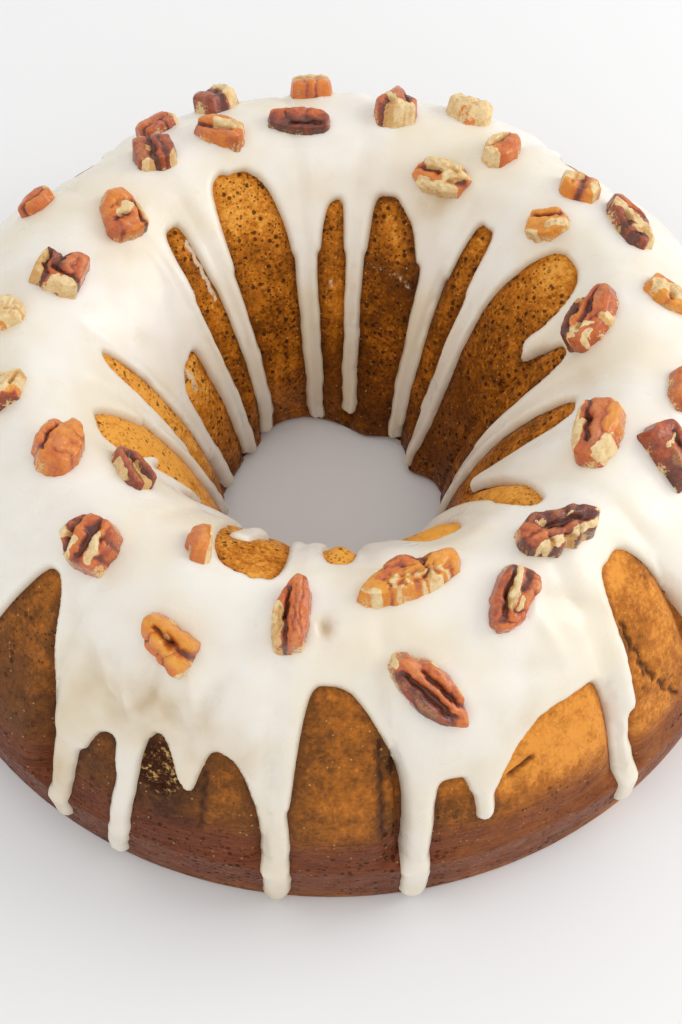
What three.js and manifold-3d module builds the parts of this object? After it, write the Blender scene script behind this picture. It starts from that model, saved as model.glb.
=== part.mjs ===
// Iced bundt cake topped with chopped pecans.
// Millimetres, +Z up, origin at the centre of the base, which rests on Z = 0.
// Azimuths are in degrees, anticlockwise from +X. A "reach" is a distance in mm measured
// over the cake's surface from its crest: positive down the outer wall, negative down the hole.
import * as THREE from 'three';
import { mergeVertices } from 'three/addons/utils/BufferGeometryUtils.js';
import Module from 'manifold-3d';

const wasm = await Module();
wasm.setup();

// ---------------------------------------------------------------- driving dimensions

const CAKE = {
  rimRadius: 121,
  baseRadius: 118.5,
  bandHeight: 21,
  crestRadius: 78.5,
  crestHeight: 78,
  holeRadius: 31.5,
  outerFullness: 1.7,
  innerFullness: 1.7,
  footChamfer: 1.6,
  bandEdge: 1.2,
  wallRows: 7,
  holeRows: 8,
};

// Grooves are V-shaped in plan, one each side of a narrow flute; a ledge sets the walls in above the band.
const FLUTES = {
  pitch: 45,
  narrowHalfAngle: 7.5,
  grooveSpread: 1.6,
  outerDepth: 3.4,
  innerDepth: 2.0,
  crestShare: 0.3,
  wideCrown: 1.7,
  narrowCrown: 0.5,
  innerCrownShare: 0.5,
  outerFullShare: 0.6,
  innerFullShare: 0.5,
  ledge: 0.6,
  ledgeReach: 40,
};

// Slow waves of the crust around the cake: how many, phase, lean along the reach, height.
const CRUST_WAVES = [
  { count: 3, phase: 0.7, lean: 0, height: 0.45 },
  { count: 5, phase: 0, lean: 1 / 30, height: 0.35 },
];
const CRUST_WAVE_FADE = 15;

const ICING = {
  thickness: 2.4,
  edgeThickness: 1.7,
  edgeRoll: 1.6,
  edgeShoulder: 5,
  tuck: 1.2,
  fluteShare: 0.45,
  outerHem: 44,
  innerHem: 52,
  rowCount: 5,
};

// A run narrows on its way down and swells into a bead at its tip.
const RUN = {
  lift: 0.6,
  topHalfWidth: 0.5,
  lowHalfWidth: 0.4,
  bead: 0.5,
  beadFrom: 0.72,
  beadTo: 0.95,
  capSteps: 2,
  sides: 5,
  spans: 4,
};

const GAP = 0.3;

// Low swells of the hole's wall at its foot: azimuth, half-width in degrees, rise towards the axis.
const HOLE_SWELLS = [
  { azimuth: 33, halfWidth: 10, rise: 5.5 },
  { azimuth: 73, halfWidth: 13, rise: 3.5 },
  { azimuth: 115, halfWidth: 18, rise: -4.5 },
];
const SWELL_HEIGHT = 26;

// Where the icing's hem lifts off a flute and leaves it bare: azimuth, half-width, height of its top.
const OUTER_BARE = [
  { azimuth: 0, halfWidth: 8, top: 66 },
  { azimuth: 22, halfWidth: 13, top: 56 },
  { azimuth: 45, halfWidth: 9, top: 72 },
  { azimuth: 68, halfWidth: 11, top: 54 },
  { azimuth: 90, halfWidth: 7, top: 64 },
  { azimuth: 112, halfWidth: 12, top: 55 },
  { azimuth: 135, halfWidth: 9, top: 72 },
  { azimuth: 158, halfWidth: 12, top: 57 },
  { azimuth: 180, halfWidth: 8, top: 65 },
  { azimuth: 203, halfWidth: 11, top: 58 },
  { azimuth: 226, halfWidth: 7, top: 72 },
  { azimuth: 241, halfWidth: 4, top: 52 },
  { azimuth: 248, halfWidth: 4, top: 56 },
  { azimuth: 257, halfWidth: 4.5, top: 55 },
  { azimuth: 269.5, halfWidth: 7, top: 71 },
  { azimuth: 284, halfWidth: 3, top: 50 },
  { azimuth: 299, halfWidth: 9, top: 58 },
  { azimuth: 317, halfWidth: 8, top: 75 },
  { azimuth: 338, halfWidth: 11, top: 57 },
];

const INNER_BARE = [
  { azimuth: 22, halfWidth: 15, top: 76 },
  { azimuth: 46.5, halfWidth: 5, top: 71 },
  { azimuth: 70, halfWidth: 11, top: 70 },
  { azimuth: 89.5, halfWidth: 5.5, top: 68 },
  { azimuth: 113, halfWidth: 12, top: 76 },
  { azimuth: 136, halfWidth: 5.5, top: 71 },
  { azimuth: 152, halfWidth: 5, top: 54 },
  { azimuth: 175, halfWidth: 6, top: 68 },
  { azimuth: 196, halfWidth: 8, top: 70 },
  { azimuth: 222, halfWidth: 9, top: 62 },
  { azimuth: 252, halfWidth: 11, top: 77 },
  { azimuth: 272, halfWidth: 4.5, top: 71 },
  { azimuth: 300, halfWidth: 8, top: 70 },
  { azimuth: 320, halfWidth: 7, top: 75 },
  { azimuth: 346, halfWidth: 7, top: 71 },
];

// Runs of icing: azimuth at the top and at the tip, heights of both, width at the top.
const OUTER_RUNS = [
  { azimuth: 7.5, tipAzimuth: 7.5, from: 56, to: 9, width: 7 },
  { azimuth: 37.5, tipAzimuth: 38, from: 56, to: 4, width: 7 },
  { azimuth: 82, tipAzimuth: 82, from: 56, to: 3, width: 7.5 },
  { azimuth: 127, tipAzimuth: 127.5, from: 56, to: 5, width: 7.5 },
  { azimuth: 143, tipAzimuth: 142.5, from: 56, to: 26, width: 7 },
  { azimuth: 172.5, tipAzimuth: 172, from: 56, to: 7, width: 7 },
  { azimuth: 216, tipAzimuth: 217, from: 58, to: 4, width: 8 },
  { azimuth: 235.3, tipAzimuth: 234.6, from: 56, to: 6.5, width: 7 },
  { azimuth: 243.6, tipAzimuth: 242.5, from: 58, to: 2.5, width: 6 },
  { azimuth: 252.6, tipAzimuth: 252.6, from: 56, to: 43, width: 9 },
  { azimuth: 262.4, tipAzimuth: 262.8, from: 58, to: 1.2, width: 8.5 },
  { azimuth: 279.6, tipAzimuth: 279.8, from: 56, to: 1.5, width: 9.5 },
  { azimuth: 287.6, tipAzimuth: 287.6, from: 52, to: 34, width: 7 },
  { azimuth: 307.4, tipAzimuth: 308, from: 60, to: 6, width: 6.6 },
  { azimuth: 326, tipAzimuth: 326, from: 60, to: 10, width: 7 },
  { azimuth: 351, tipAzimuth: 351.5, from: 56, to: 18, width: 7 },
];

const INNER_RUNS = [
  { azimuth: 38.5, tipAzimuth: 34, from: 66, to: 1.2, width: 6 },
  { azimuth: 55, tipAzimuth: 49, from: 66, to: 1.2, width: 7 },
  { azimuth: 82, tipAzimuth: 82, from: 64, to: 8, width: 5 },
  { azimuth: 98.3, tipAzimuth: 97.5, from: 64, to: 1.2, width: 6 },
  { azimuth: 128, tipAzimuth: 126, from: 66, to: 1.2, width: 7.5 },
  { azimuth: 144, tipAzimuth: 145, from: 60, to: 1.2, width: 6.5 },
  { azimuth: 163, tipAzimuth: 160, from: 62, to: 1.2, width: 5.5 },
  { azimuth: 185, tipAzimuth: 177, from: 64, to: 1.2, width: 5.5 },
  { azimuth: 209, tipAzimuth: 206, from: 62, to: 3, width: 8 },
  { azimuth: 237, tipAzimuth: 237, from: 68, to: 30, width: 8 },
  { azimuth: 264, tipAzimuth: 263, from: 66, to: 2, width: 8 },
  { azimuth: 284, tipAzimuth: 284, from: 62, to: 12, width: 9 },
  { azimuth: 311, tipAzimuth: 311, from: 66, to: 3, width: 8 },
  { azimuth: 332, tipAzimuth: 332, from: 62, to: 6, width: 10 },
  { azimuth: 354, tipAzimuth: 359, from: 66, to: 1.2, width: 6 },
];

// Pecans: where the broken end is cut, in half-lengths, and how rough the piece is.
const NUT_KIND = {
  half: { cutEnd: 0.8, roughness: 0.1 },
  chunk: { cutEnd: 0.55, roughness: 0.28 },
};

const NUT = {
  sides: 8,
  rings: 5,
  heightShare: 0.32,
  seatShare: 0.2,
  furrowDepth: 0.3,
  furrowWidth: 0.22,
  clearance: 0.45,
  seed: 7,
  seedStep: 101,
};

// Pecan pieces: azimuth, reach, heading of the long axis from the azimuth direction, length, width.
const PECANS = [
  { azimuth: 110, reach: 14, heading: 160, length: 13, width: 11, kind: NUT_KIND.chunk },
  { azimuth: 93.4, reach: 13, heading: 178, length: 12, width: 9, kind: NUT_KIND.chunk },
  { azimuth: 122, reach: 14, heading: 165, length: 13, width: 8.5, kind: NUT_KIND.chunk },
  { azimuth: 126, reach: 3, heading: 200, length: 13, width: 11.5, kind: NUT_KIND.chunk },
  { azimuth: 112.7, reach: 0, heading: 30, length: 17, width: 9.5, kind: NUT_KIND.half },
  { azimuth: 97.2, reach: -1.7, heading: 8, length: 18.5, width: 8.5, kind: NUT_KIND.half },
  { azimuth: 78, reach: 7.5, heading: 80, length: 13, width: 12, kind: NUT_KIND.chunk },
  { azimuth: 66, reach: 12.5, heading: 20, length: 15, width: 12, kind: NUT_KIND.chunk },
  { azimuth: 54, reach: 2, heading: 100, length: 13.5, width: 10, kind: NUT_KIND.half },
  { azimuth: 62, reach: -11.8, heading: 171, length: 18, width: 11, kind: NUT_KIND.half },
  { azimuth: 36.6, reach: 4.4, heading: 160, length: 13, width: 10, kind: NUT_KIND.chunk },
  { azimuth: 33.7, reach: -8.5, heading: 126, length: 14, width: 9, kind: NUT_KIND.chunk },
  { azimuth: 25.6, reach: 9.2, heading: 178, length: 21, width: 10, kind: NUT_KIND.half },
  { azimuth: 148, reach: 15.4, heading: 20, length: 12, width: 9, kind: NUT_KIND.chunk },
  { azimuth: 141.8, reach: -8.2, heading: -71, length: 14, width: 13, kind: NUT_KIND.chunk },
  { azimuth: 163.2, reach: -3.8, heading: -94, length: 15, width: 14, kind: NUT_KIND.chunk },
  { azimuth: 174.7, reach: 3.7, heading: -100, length: 14, width: 10, kind: NUT_KIND.chunk },
  { azimuth: 191.1, reach: 2.4, heading: -116, length: 15, width: 11, kind: NUT_KIND.chunk },
  { azimuth: 207.4, reach: -1.8, heading: -127, length: 17, width: 13, kind: NUT_KIND.half },
  { azimuth: 217.7, reach: -16.9, heading: 3, length: 17, width: 9.5, kind: NUT_KIND.half },
  { azimuth: 228.2, reach: 6.2, heading: -100, length: 15.5, width: 14.5, kind: NUT_KIND.half },
  { azimuth: 243.4, reach: -7.8, heading: -95, length: 12, width: 8.5, kind: NUT_KIND.chunk },
  { azimuth: 247.1, reach: 16.8, heading: 27, length: 18.4, width: 10, kind: NUT_KIND.half },
  { azimuth: 263.6, reach: 4.4, heading: -94, length: 17.5, width: 10, kind: NUT_KIND.half },
  { azimuth: 283, reach: -1.3, heading: -7, length: 27, width: 10.5, kind: NUT_KIND.half },
  { azimuth: 310.2, reach: 2.4, heading: 21, length: 24, width: 12, kind: NUT_KIND.half },
  { azimuth: 298.4, reach: 8.8, heading: -38, length: 17.5, width: 10.5, kind: NUT_KIND.half },
  { azimuth: 282.9, reach: 22.4, heading: 55, length: 24, width: 11.5, kind: NUT_KIND.half },
  { azimuth: 333.5, reach: -4.8, heading: -8, length: 21, width: 13, kind: NUT_KIND.half },
  { azimuth: 5.9, reach: -10.6, heading: 40, length: 19, width: 13, kind: NUT_KIND.half },
  { azimuth: 8.3, reach: 7.8, heading: 135, length: 15, width: 9.5, kind: NUT_KIND.chunk },
  { azimuth: 349.7, reach: 8.8, heading: 4, length: 15, width: 10, kind: NUT_KIND.chunk },
  { azimuth: 335.4, reach: 9.8, heading: 115, length: 19, width: 12, kind: NUT_KIND.half },
  { azimuth: 182, reach: 26, heading: 60, length: 18, width: 11, kind: NUT_KIND.half },
  { azimuth: 204, reach: 21, heading: 10, length: 14, width: 11, kind: NUT_KIND.chunk },
  { azimuth: 168, reach: 21, heading: 130, length: 14, width: 10, kind: NUT_KIND.chunk },
  { azimuth: 355, reach: 25, heading: 75, length: 19, width: 11, kind: NUT_KIND.half },
  { azimuth: 16, reach: 27, heading: -30, length: 15, width: 11, kind: NUT_KIND.chunk },
  { azimuth: 340, reach: 29, heading: 20, length: 14, width: 10, kind: NUT_KIND.chunk },
  { azimuth: 8.5, reach: 36, heading: 80, length: 17, width: 11, kind: NUT_KIND.half },
  { azimuth: 191, reach: 36, heading: 85, length: 15, width: 11, kind: NUT_KIND.chunk },
  { azimuth: 169.5, reach: 37.5, heading: 8, length: 16.5, width: 10.5, kind: NUT_KIND.half },
];

// ---------------------------------------------------------------- small maths

const { clamp, lerp, smoothstep, degToRad, radToDeg, euclideanModulo } = THREE.MathUtils;

/** A bell curve: 1 at zero, falling away over a width. */
function bell(distance, width) {
  return Math.exp(-((distance / width) ** 2));
}

/** Signed difference a - b of two azimuths, between -180 and 180. */
function turn(a, b) {
  return euclideanModulo(a - b + 180, 360) - 180;
}

/** Repeatable draws between 0 and 1, by Lehmer's generator. */
function seededRandom(seed) {
  const factor = 16807;
  const modulus = 2147483647;
  let state = seed;
  return () => {
    state = (state * factor) % modulus;
    return state / modulus;
  };
}

// ---------------------------------------------------------------- the cake's cross-section

/** Smooth cross-section of the cake, read by its reach over the surface from the crest. */
class Section {
  constructor(cake, steps) {
    const outer = [];
    const inner = [];
    for (let step = 0; step <= steps; step += 1) {
      const angle = (Math.PI / 2) * (1 - step / steps);
      outer.push(new THREE.Vector2(
        cake.crestRadius + (cake.rimRadius - cake.crestRadius) * Math.cos(angle) ** (2 / cake.outerFullness),
        cake.bandHeight + (cake.crestHeight - cake.bandHeight) * Math.sin(angle) ** (2 / cake.outerFullness),
      ));
      inner.push(new THREE.Vector2(
        cake.crestRadius - (cake.crestRadius - cake.holeRadius) * Math.cos(angle) ** (2 / cake.innerFullness),
        cake.crestHeight * Math.sin(angle) ** (2 / cake.innerFullness),
      ));
    }
    outer.push(new THREE.Vector2(cake.baseRadius, 0));
    this.outer = Section.measure(outer);
    this.inner = Section.measure(inner);
    this.outerLength = this.outer[this.outer.length - 1].reach;
    this.innerLength = this.inner[this.inner.length - 1].reach;
    this.wallLength = this.outer[this.outer.length - 2].reach;
  }

  /** Adds to each point its reach from the first. */
  static measure(points) {
    let reach = 0;
    return points.map((point, index) => {
      reach += index ? point.distanceTo(points[index - 1]) : 0;
      return { radius: point.x, height: point.y, reach };
    });
  }

  /** Radius and height at a reach. */
  at(reach) {
    const side = reach < 0 ? this.inner : this.outer;
    const wanted = Math.abs(reach);
    let next = side.findIndex((point) => point.reach >= wanted);
    if (next < 0) {
      next = side.length - 1;
    }
    if (next === 0) {
      return new THREE.Vector2(side[0].radius, side[0].height);
    }
    const a = side[next - 1];
    const b = side[next];
    const share = (wanted - a.reach) / (b.reach - a.reach);
    return new THREE.Vector2(lerp(a.radius, b.radius, share), lerp(a.height, b.height, share));
  }

  /** Outward normal at a reach. */
  normal(reach) {
    const probe = 0.8;
    const before = this.at(Math.max(reach - probe, -this.innerLength));
    const after = this.at(Math.min(reach + probe, this.outerLength));
    const along = after.sub(before).normalize();
    return new THREE.Vector2(-along.y, along.x);
  }

  /** Reach at which one wall of the cake passes a height. */
  reachOf(height, wall) {
    const side = wall < 0 ? this.inner : this.outer;
    const next = Math.max(1, side.findIndex((point) => point.height <= height));
    const a = side[next - 1];
    const b = side[next];
    return wall * lerp(a.reach, b.reach, (a.height - height) / (a.height - b.height));
  }
}

const SECTION_STEPS = 160;
const section = new Section(CAKE, SECTION_STEPS);

/** How far a groove between flutes is cut in at an azimuth and a reach. */
function fluteDepth(azimuth, reach) {
  const fromNarrow = Math.abs(turn(azimuth, FLUTES.pitch * Math.round(azimuth / FLUTES.pitch)));
  const fromGroove = fromNarrow - FLUTES.narrowHalfAngle;
  const groove = bell(fromGroove, FLUTES.grooveSpread);
  const crown = fromGroove > 0
    ? FLUTES.wideCrown * (1 - fromGroove / (FLUTES.pitch / 2 - FLUTES.narrowHalfAngle)) ** 2
    : FLUTES.narrowCrown * (fromNarrow / FLUTES.narrowHalfAngle) ** 4;
  if (reach < 0) {
    const fullAt = section.innerLength * FLUTES.innerFullShare;
    const share = lerp(FLUTES.crestShare, 1, smoothstep(-reach, 0, fullAt));
    return share * (FLUTES.innerDepth * groove + FLUTES.innerCrownShare * crown);
  }
  const share = lerp(FLUTES.crestShare, 1, smoothstep(reach, 0, section.wallLength * FLUTES.outerFullShare));
  const aboveBand = reach < section.wallLength ? 1 : 0;
  const ledge = FLUTES.ledge * smoothstep(reach, 0, FLUTES.ledgeReach);
  return aboveBand * (share * (FLUTES.outerDepth * groove + crown) + ledge);
}

/** Radial shift that makes the hole's wall as uneven as a baked one near its foot. */
function holeShift(azimuth, reach, height) {
  if (reach >= 0) {
    return 0;
  }
  const fade = 1 - smoothstep(height, 0, SWELL_HEIGHT);
  return -fade * HOLE_SWELLS.reduce(
    (sum, swell) => sum + swell.rise * bell(turn(azimuth, swell.azimuth), swell.halfWidth),
    0,
  );
}

/** Slow rise and fall of the crust around the cake. */
function unevenness(azimuth, reach) {
  const angle = degToRad(azimuth);
  const aboveBand = smoothstep(section.wallLength - reach, 0, CRUST_WAVE_FADE);
  return aboveBand * CRUST_WAVES.reduce(
    (sum, wave) => sum + wave.height * Math.sin(wave.count * angle + wave.phase + wave.lean * reach),
    0,
  );
}

/** A point at a height above the cake's surface, with a share of the flutes' depth. */
function onCake(azimuth, reach, lift = 0, fluteShare = 1) {
  const point = section.at(reach);
  const normal = section.normal(reach);
  const proud = lift - fluteShare * fluteDepth(azimuth, reach) + unevenness(azimuth, reach);
  const radius = point.x + normal.x * proud + holeShift(azimuth, reach, point.y);
  const height = point.y + normal.y * proud;
  const angle = degToRad(azimuth);
  return new THREE.Vector3(radius * Math.cos(angle), radius * Math.sin(angle), height);
}

// ---------------------------------------------------------------- closed meshes and booleans

const MERGE_DISTANCE = 1e-4;

/** Position-only copy of a geometry with shared vertices. */
function closed(geometry) {
  geometry.deleteAttribute('normal');
  geometry.deleteAttribute('uv');
  return mergeVertices(geometry, MERGE_DISTANCE);
}

/** Closed ring: a lathe over a closed section, whose vertices place(azimuth, row) then sets. */
function ring(azimuths, rowCount, place) {
  const outline = Array.from({ length: rowCount + 1 }, (_, row) => {
    const point = place(azimuths[0], row % rowCount);
    return new THREE.Vector2(Math.hypot(point.x, point.y), point.z);
  });
  const geometry = new THREE.LatheGeometry(outline, azimuths.length);
  const position = geometry.getAttribute('position');
  for (let column = 0; column <= azimuths.length; column += 1) {
    for (let row = 0; row <= rowCount; row += 1) {
      const point = place(azimuths[column % azimuths.length], row % rowCount);
      position.setXYZ(column * (rowCount + 1) + row, point.x, point.y, point.z);
    }
  }
  return closed(geometry);
}

/** The solid inside a closed geometry. */
function solidOf(geometry) {
  return new wasm.Manifold(new wasm.Mesh({
    numProp: 3,
    vertProperties: new Float32Array(geometry.getAttribute('position').array),
    triVerts: new Uint32Array(geometry.getIndex().array),
  }));
}

/** The faceted skin of a solid. */
function geometryOf(solid) {
  const mesh = solid.getMesh();
  const geometry = new THREE.BufferGeometry();
  geometry.setAttribute('position', new THREE.BufferAttribute(mesh.vertProperties, 3));
  geometry.setIndex(new THREE.BufferAttribute(mesh.triVerts, 1));
  return geometry;
}

// ---------------------------------------------------------------- the cake

// Columns beside each groove, in degrees from its middle.
const COLUMN_STEPS = [-2, 0, 2, 8];

/** Azimuths of the mesh's columns, crowded at the grooves between the flutes. */
function fluteColumns() {
  const half = COLUMN_STEPS.map((step) => FLUTES.narrowHalfAngle + step);
  const pitch = [0, ...half, FLUTES.pitch / 2, ...half.map((step) => FLUTES.pitch - step).reverse()];
  const azimuths = [];
  for (let start = 0; start < 360; start += FLUTES.pitch) {
    azimuths.push(...pitch.map((step) => start + step));
  }
  return azimuths;
}

/** Reaches of the cake's rows, from the band's foot over the crest to the foot of the hole. */
function cakeReaches() {
  const rows = [section.outerLength - CAKE.footChamfer, section.wallLength + CAKE.bandEdge];
  for (let row = 0; row < CAKE.wallRows; row += 1) {
    rows.push(lerp(section.wallLength - CAKE.bandEdge, 0, row / CAKE.wallRows));
  }
  for (let row = 0; row < CAKE.holeRows; row += 1) {
    rows.push(lerp(0, -section.innerLength + CAKE.footChamfer, row / (CAKE.holeRows - 1)));
  }
  return rows;
}

const columns = fluteColumns();
const reaches = cakeReaches();

/** The cake's ring, grown by a lift over its whole crust but not below its flat base. */
function cakeRing(lift) {
  const feet = [CAKE.baseRadius - CAKE.footChamfer, CAKE.holeRadius + CAKE.footChamfer];
  return ring(columns, reaches.length + 2, (azimuth, row) => {
    if (row > 0 && row <= reaches.length) {
      return onCake(azimuth, reaches[row - 1], lift);
    }
    const angle = degToRad(azimuth);
    const outerFoot = row === 0;
    const radius = outerFoot
      ? feet[0] + lift
      : feet[1] - lift + holeShift(azimuth, -section.innerLength, 0);
    return new THREE.Vector3(radius * Math.cos(angle), radius * Math.sin(angle), -lift);
  });
}

// ---------------------------------------------------------------- the icing

/** Height of the icing's hem on one wall, lifted into an arch over each bare flute. */
function hemHeight(azimuth, hem, bareFlutes) {
  return bareFlutes.reduce((height, bare) => {
    const share = Math.min(1, Math.abs(turn(azimuth, bare.azimuth)) / bare.halfWidth);
    return Math.max(height, lerp(bare.top, hem, share ** 2));
  }, hem);
}

/** The coat over the crest, down to both hems; it still fills the cake's inside. */
function coat() {
  const rolled = [0, ICING.edgeRoll];
  const lifts = [-ICING.tuck, ICING.edgeThickness];
  const lastRow = ICING.rowCount + 3;
  return ring(columns, lastRow + 1, (azimuth, row) => {
    const outer = section.reachOf(hemHeight(azimuth, ICING.outerHem, OUTER_BARE), 1);
    const inner = section.reachOf(hemHeight(azimuth, ICING.innerHem, INNER_BARE), -1);
    const fromEnd = Math.min(row, lastRow - row);
    const sign = row * 2 < lastRow ? -1 : 1;
    if (fromEnd < 2) {
      const reach = (sign < 0 ? outer : inner) + sign * rolled[fromEnd];
      return onCake(azimuth, reach, lifts[fromEnd] + GAP, ICING.fluteShare);
    }
    const share = (row - 2) / (lastRow - 4);
    const reach = lerp(outer - ICING.edgeShoulder, inner + ICING.edgeShoulder, share);
    return onCake(azimuth, reach, ICING.thickness + GAP, ICING.fluteShare);
  });
}

/** One run of icing: a capsule laid down the wall, flat underneath and fuller at its tip. */
function run(wall, drip) {
  const bodyLength = 4;
  const capsule = new THREE.CapsuleGeometry(1, bodyLength, RUN.capSteps, RUN.sides, RUN.spans);
  const halfLength = bodyLength / 2 + 1;
  const position = capsule.getAttribute('position');
  const start = section.reachOf(drip.from, wall);
  const end = section.reachOf(drip.to, wall);
  for (let index = 0; index < position.count; index += 1) {
    const x = position.getX(index);
    const y = position.getY(index);
    const z = position.getZ(index);
    const share = (halfLength - y) / (2 * halfLength);
    const bead = RUN.bead * smoothstep(share, RUN.beadFrom, RUN.beadTo);
    const halfWidth = drip.width * lerp(RUN.topHalfWidth, RUN.lowHalfWidth, share) + bead;
    const lift = RUN.lift + (ICING.edgeThickness + bead) * Math.max(z, 0);
    const reach = lerp(start, end, share);
    const radius = section.at(reach).x;
    const azimuth = lerp(drip.azimuth, drip.tipAzimuth, share)
      + wall * radToDeg((x * halfWidth) / radius);
    const point = onCake(azimuth, reach, lift, 0);
    position.setXYZ(index, point.x, point.y, point.z);
  }
  return closed(capsule);
}

/** The whole icing: the coat, hollowed by the cake it lies on, and the runs that leave its hems. */
function icing() {
  let solid = solidOf(coat()).subtract(solidOf(cakeRing(GAP)));
  for (const drip of OUTER_RUNS) {
    solid = solid.add(solidOf(run(1, drip)));
  }
  for (const drip of INNER_RUNS) {
    solid = solid.add(solidOf(run(-1, drip)));
  }
  return geometryOf(solid);
}

// ---------------------------------------------------------------- the pecans

/** One pecan piece, its long axis along X, its back or broken face up. */
function pecanShape(nut, draw) {
  const sphere = new THREE.SphereGeometry(1, NUT.sides, NUT.rings, Math.PI / 2 / NUT.sides);
  sphere.rotateZ(Math.PI / 2);
  const shape = closed(sphere);
  const vertices = shape.getAttribute('position');
  const { cutEnd, roughness } = nut.kind;
  for (let index = 0; index < vertices.count; index += 1) {
    const point = new THREE.Vector3().fromBufferAttribute(vertices, index);
    const swell = 1 - roughness * draw();
    const furrow = point.z > 0 ? NUT.furrowDepth * bell(point.y, NUT.furrowWidth) * (1 - point.x ** 2) : 0;
    vertices.setXYZ(
      index,
      clamp(point.x, -1, cutEnd) * swell * (nut.length / (1 + cutEnd)),
      point.y * swell * (nut.width / 2),
      point.z * swell * (1 - furrow) * nut.width * NUT.heightShare,
    );
  }
  return shape;
}

/** Sets a piece down on the icing: its underside follows the icing, its top stays straight. */
function setDown(geometry, nut) {
  const vertices = geometry.getAttribute('position');
  const seat = onCake(nut.azimuth, nut.reach, ICING.thickness + GAP, ICING.fluteShare);
  const slope = section.normal(nut.reach);
  const angle = degToRad(nut.azimuth);
  const around = new THREE.Vector3(-Math.sin(angle), Math.cos(angle), 0);
  const up = new THREE.Vector3(slope.x * Math.cos(angle), slope.x * Math.sin(angle), slope.y);
  const outward = new THREE.Vector3().crossVectors(around, up);
  const heading = degToRad(nut.heading);
  const radius = section.at(nut.reach).x;
  for (let index = 0; index < vertices.count; index += 1) {
    const local = new THREE.Vector3().fromBufferAttribute(vertices, index);
    const a = local.x * Math.cos(heading) + local.y * Math.sin(heading);
    const b = local.x * Math.sin(heading) - local.y * Math.cos(heading);
    const below = onCake(
      nut.azimuth + radToDeg(a / radius),
      nut.reach + b,
      ICING.thickness + GAP,
      ICING.fluteShare,
    );
    const floor = below.sub(seat).dot(up) + NUT.clearance;
    const height = Math.max(local.z + nut.width * NUT.seatShare, floor);
    const point = seat.clone()
      .addScaledVector(around, a)
      .addScaledVector(outward, b)
      .addScaledVector(up, height);
    vertices.setXYZ(index, point.x, point.y, point.z);
  }
  return geometry;
}

// ---------------------------------------------------------------- the finished cake

const crust = new THREE.MeshStandardMaterial({ color: 0x9a5c28, roughness: 0.7, metalness: 0 });
const glaze = new THREE.MeshStandardMaterial({ color: 0xf2ecdc, roughness: 0.35, metalness: 0 });
const pecanSkin = new THREE.MeshStandardMaterial({ color: 0xa3592a, roughness: 0.5, metalness: 0 });

/** A named mesh of the cake. */
function part(name, geometry, material) {
  const mesh = new THREE.Mesh(geometry, material);
  mesh.name = name;
  return mesh;
}

const bundt = new THREE.Group();
bundt.add(part('cake', cakeRing(0), crust));
bundt.add(part('icing', icing(), glaze));
PECANS.forEach((nut, index) => {
  const draw = seededRandom(NUT.seed + index * NUT.seedStep);
  const name = `pecan_${String(index + 1).padStart(2, '0')}`;
  bundt.add(part(name, setDown(pecanShape(nut, draw), nut), pecanSkin));
});

export default bundt;
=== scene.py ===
"""Looks of an iced bundt cake topped with chopped pecans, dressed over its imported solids.

Inside this script lengths are millimetres and angles degrees, as in the part's own source.
They become metres when a mesh is written. A "reach" is a distance over the cake's surface from
its crest: positive down the outer wall, negative down the hole.
"""
import logging
import math
from collections.abc import Callable, Sequence
from dataclasses import dataclass, field
from enum import Enum
from itertools import product
from typing import Any

import bmesh
import bpy
import numpy as np
from mathutils import Matrix, Vector
from mathutils.kdtree import KDTree


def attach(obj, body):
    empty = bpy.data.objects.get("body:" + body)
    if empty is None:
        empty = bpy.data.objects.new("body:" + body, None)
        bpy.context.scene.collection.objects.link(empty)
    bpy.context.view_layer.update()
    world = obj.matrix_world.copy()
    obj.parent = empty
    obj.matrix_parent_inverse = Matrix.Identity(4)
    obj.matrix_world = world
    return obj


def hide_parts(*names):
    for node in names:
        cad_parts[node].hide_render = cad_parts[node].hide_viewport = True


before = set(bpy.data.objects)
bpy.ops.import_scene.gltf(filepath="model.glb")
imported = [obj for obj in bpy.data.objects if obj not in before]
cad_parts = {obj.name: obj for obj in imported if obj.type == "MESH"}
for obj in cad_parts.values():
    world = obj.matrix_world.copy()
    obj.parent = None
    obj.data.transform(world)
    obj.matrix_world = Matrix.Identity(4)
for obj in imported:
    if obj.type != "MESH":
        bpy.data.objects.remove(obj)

LOG = logging.getLogger("bundt_cake")
MM = 0.001
TINY = 1e-9
BODY = "root"

Array = np.ndarray
Colour = tuple[float, float, float]
Stops = tuple[tuple[float, Colour], ...]


# ---------------------------------------------------------------- small maths

def lerp(a: Any, b: Any, share: Any) -> Any:
    """A value part of the way from a to b."""
    return a + (b - a) * share


def smoothstep(value: Any, low: float, high: float) -> Any:
    """0 below low, 1 above high and an even S between."""
    share = np.clip((value - low) / (high - low), 0, 1)
    return share * share * (3 - 2 * share)


def bell(distance: Any, width: Any) -> Any:
    """1 at zero, falling away over a width."""
    return np.exp(-((distance / width) ** 2))


def turn(a: Any, b: Any) -> Any:
    """Signed difference a - b of two azimuths, between -180 and 180."""
    return (a - b + 180) % 360 - 180


def smooth_max(a: Array, b: Array, blend: float) -> Array:
    """The larger of two fields, with a fillet where they meet."""
    mix = np.clip(0.5 + 0.5 * (a - b) / blend, 0, 1)
    return lerp(b, a, mix) + blend * mix * (1 - mix)


def evenly(first: float, last: float, step: float) -> list[float]:
    """Numbers from first to last, about a step apart."""
    count = round(abs(last - first) / step)
    return [lerp(first, last, row / count) for row in range(count + 1)]


def line_distance(points: Array, start: Array, end: Array) -> Array:
    """Distance of points from a line between two others."""
    along = end - start
    share = np.clip((points - start) @ along / max(float(along @ along), TINY), 0, 1)
    return np.linalg.norm(points - start - share[:, None] * along, axis=1)


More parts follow.
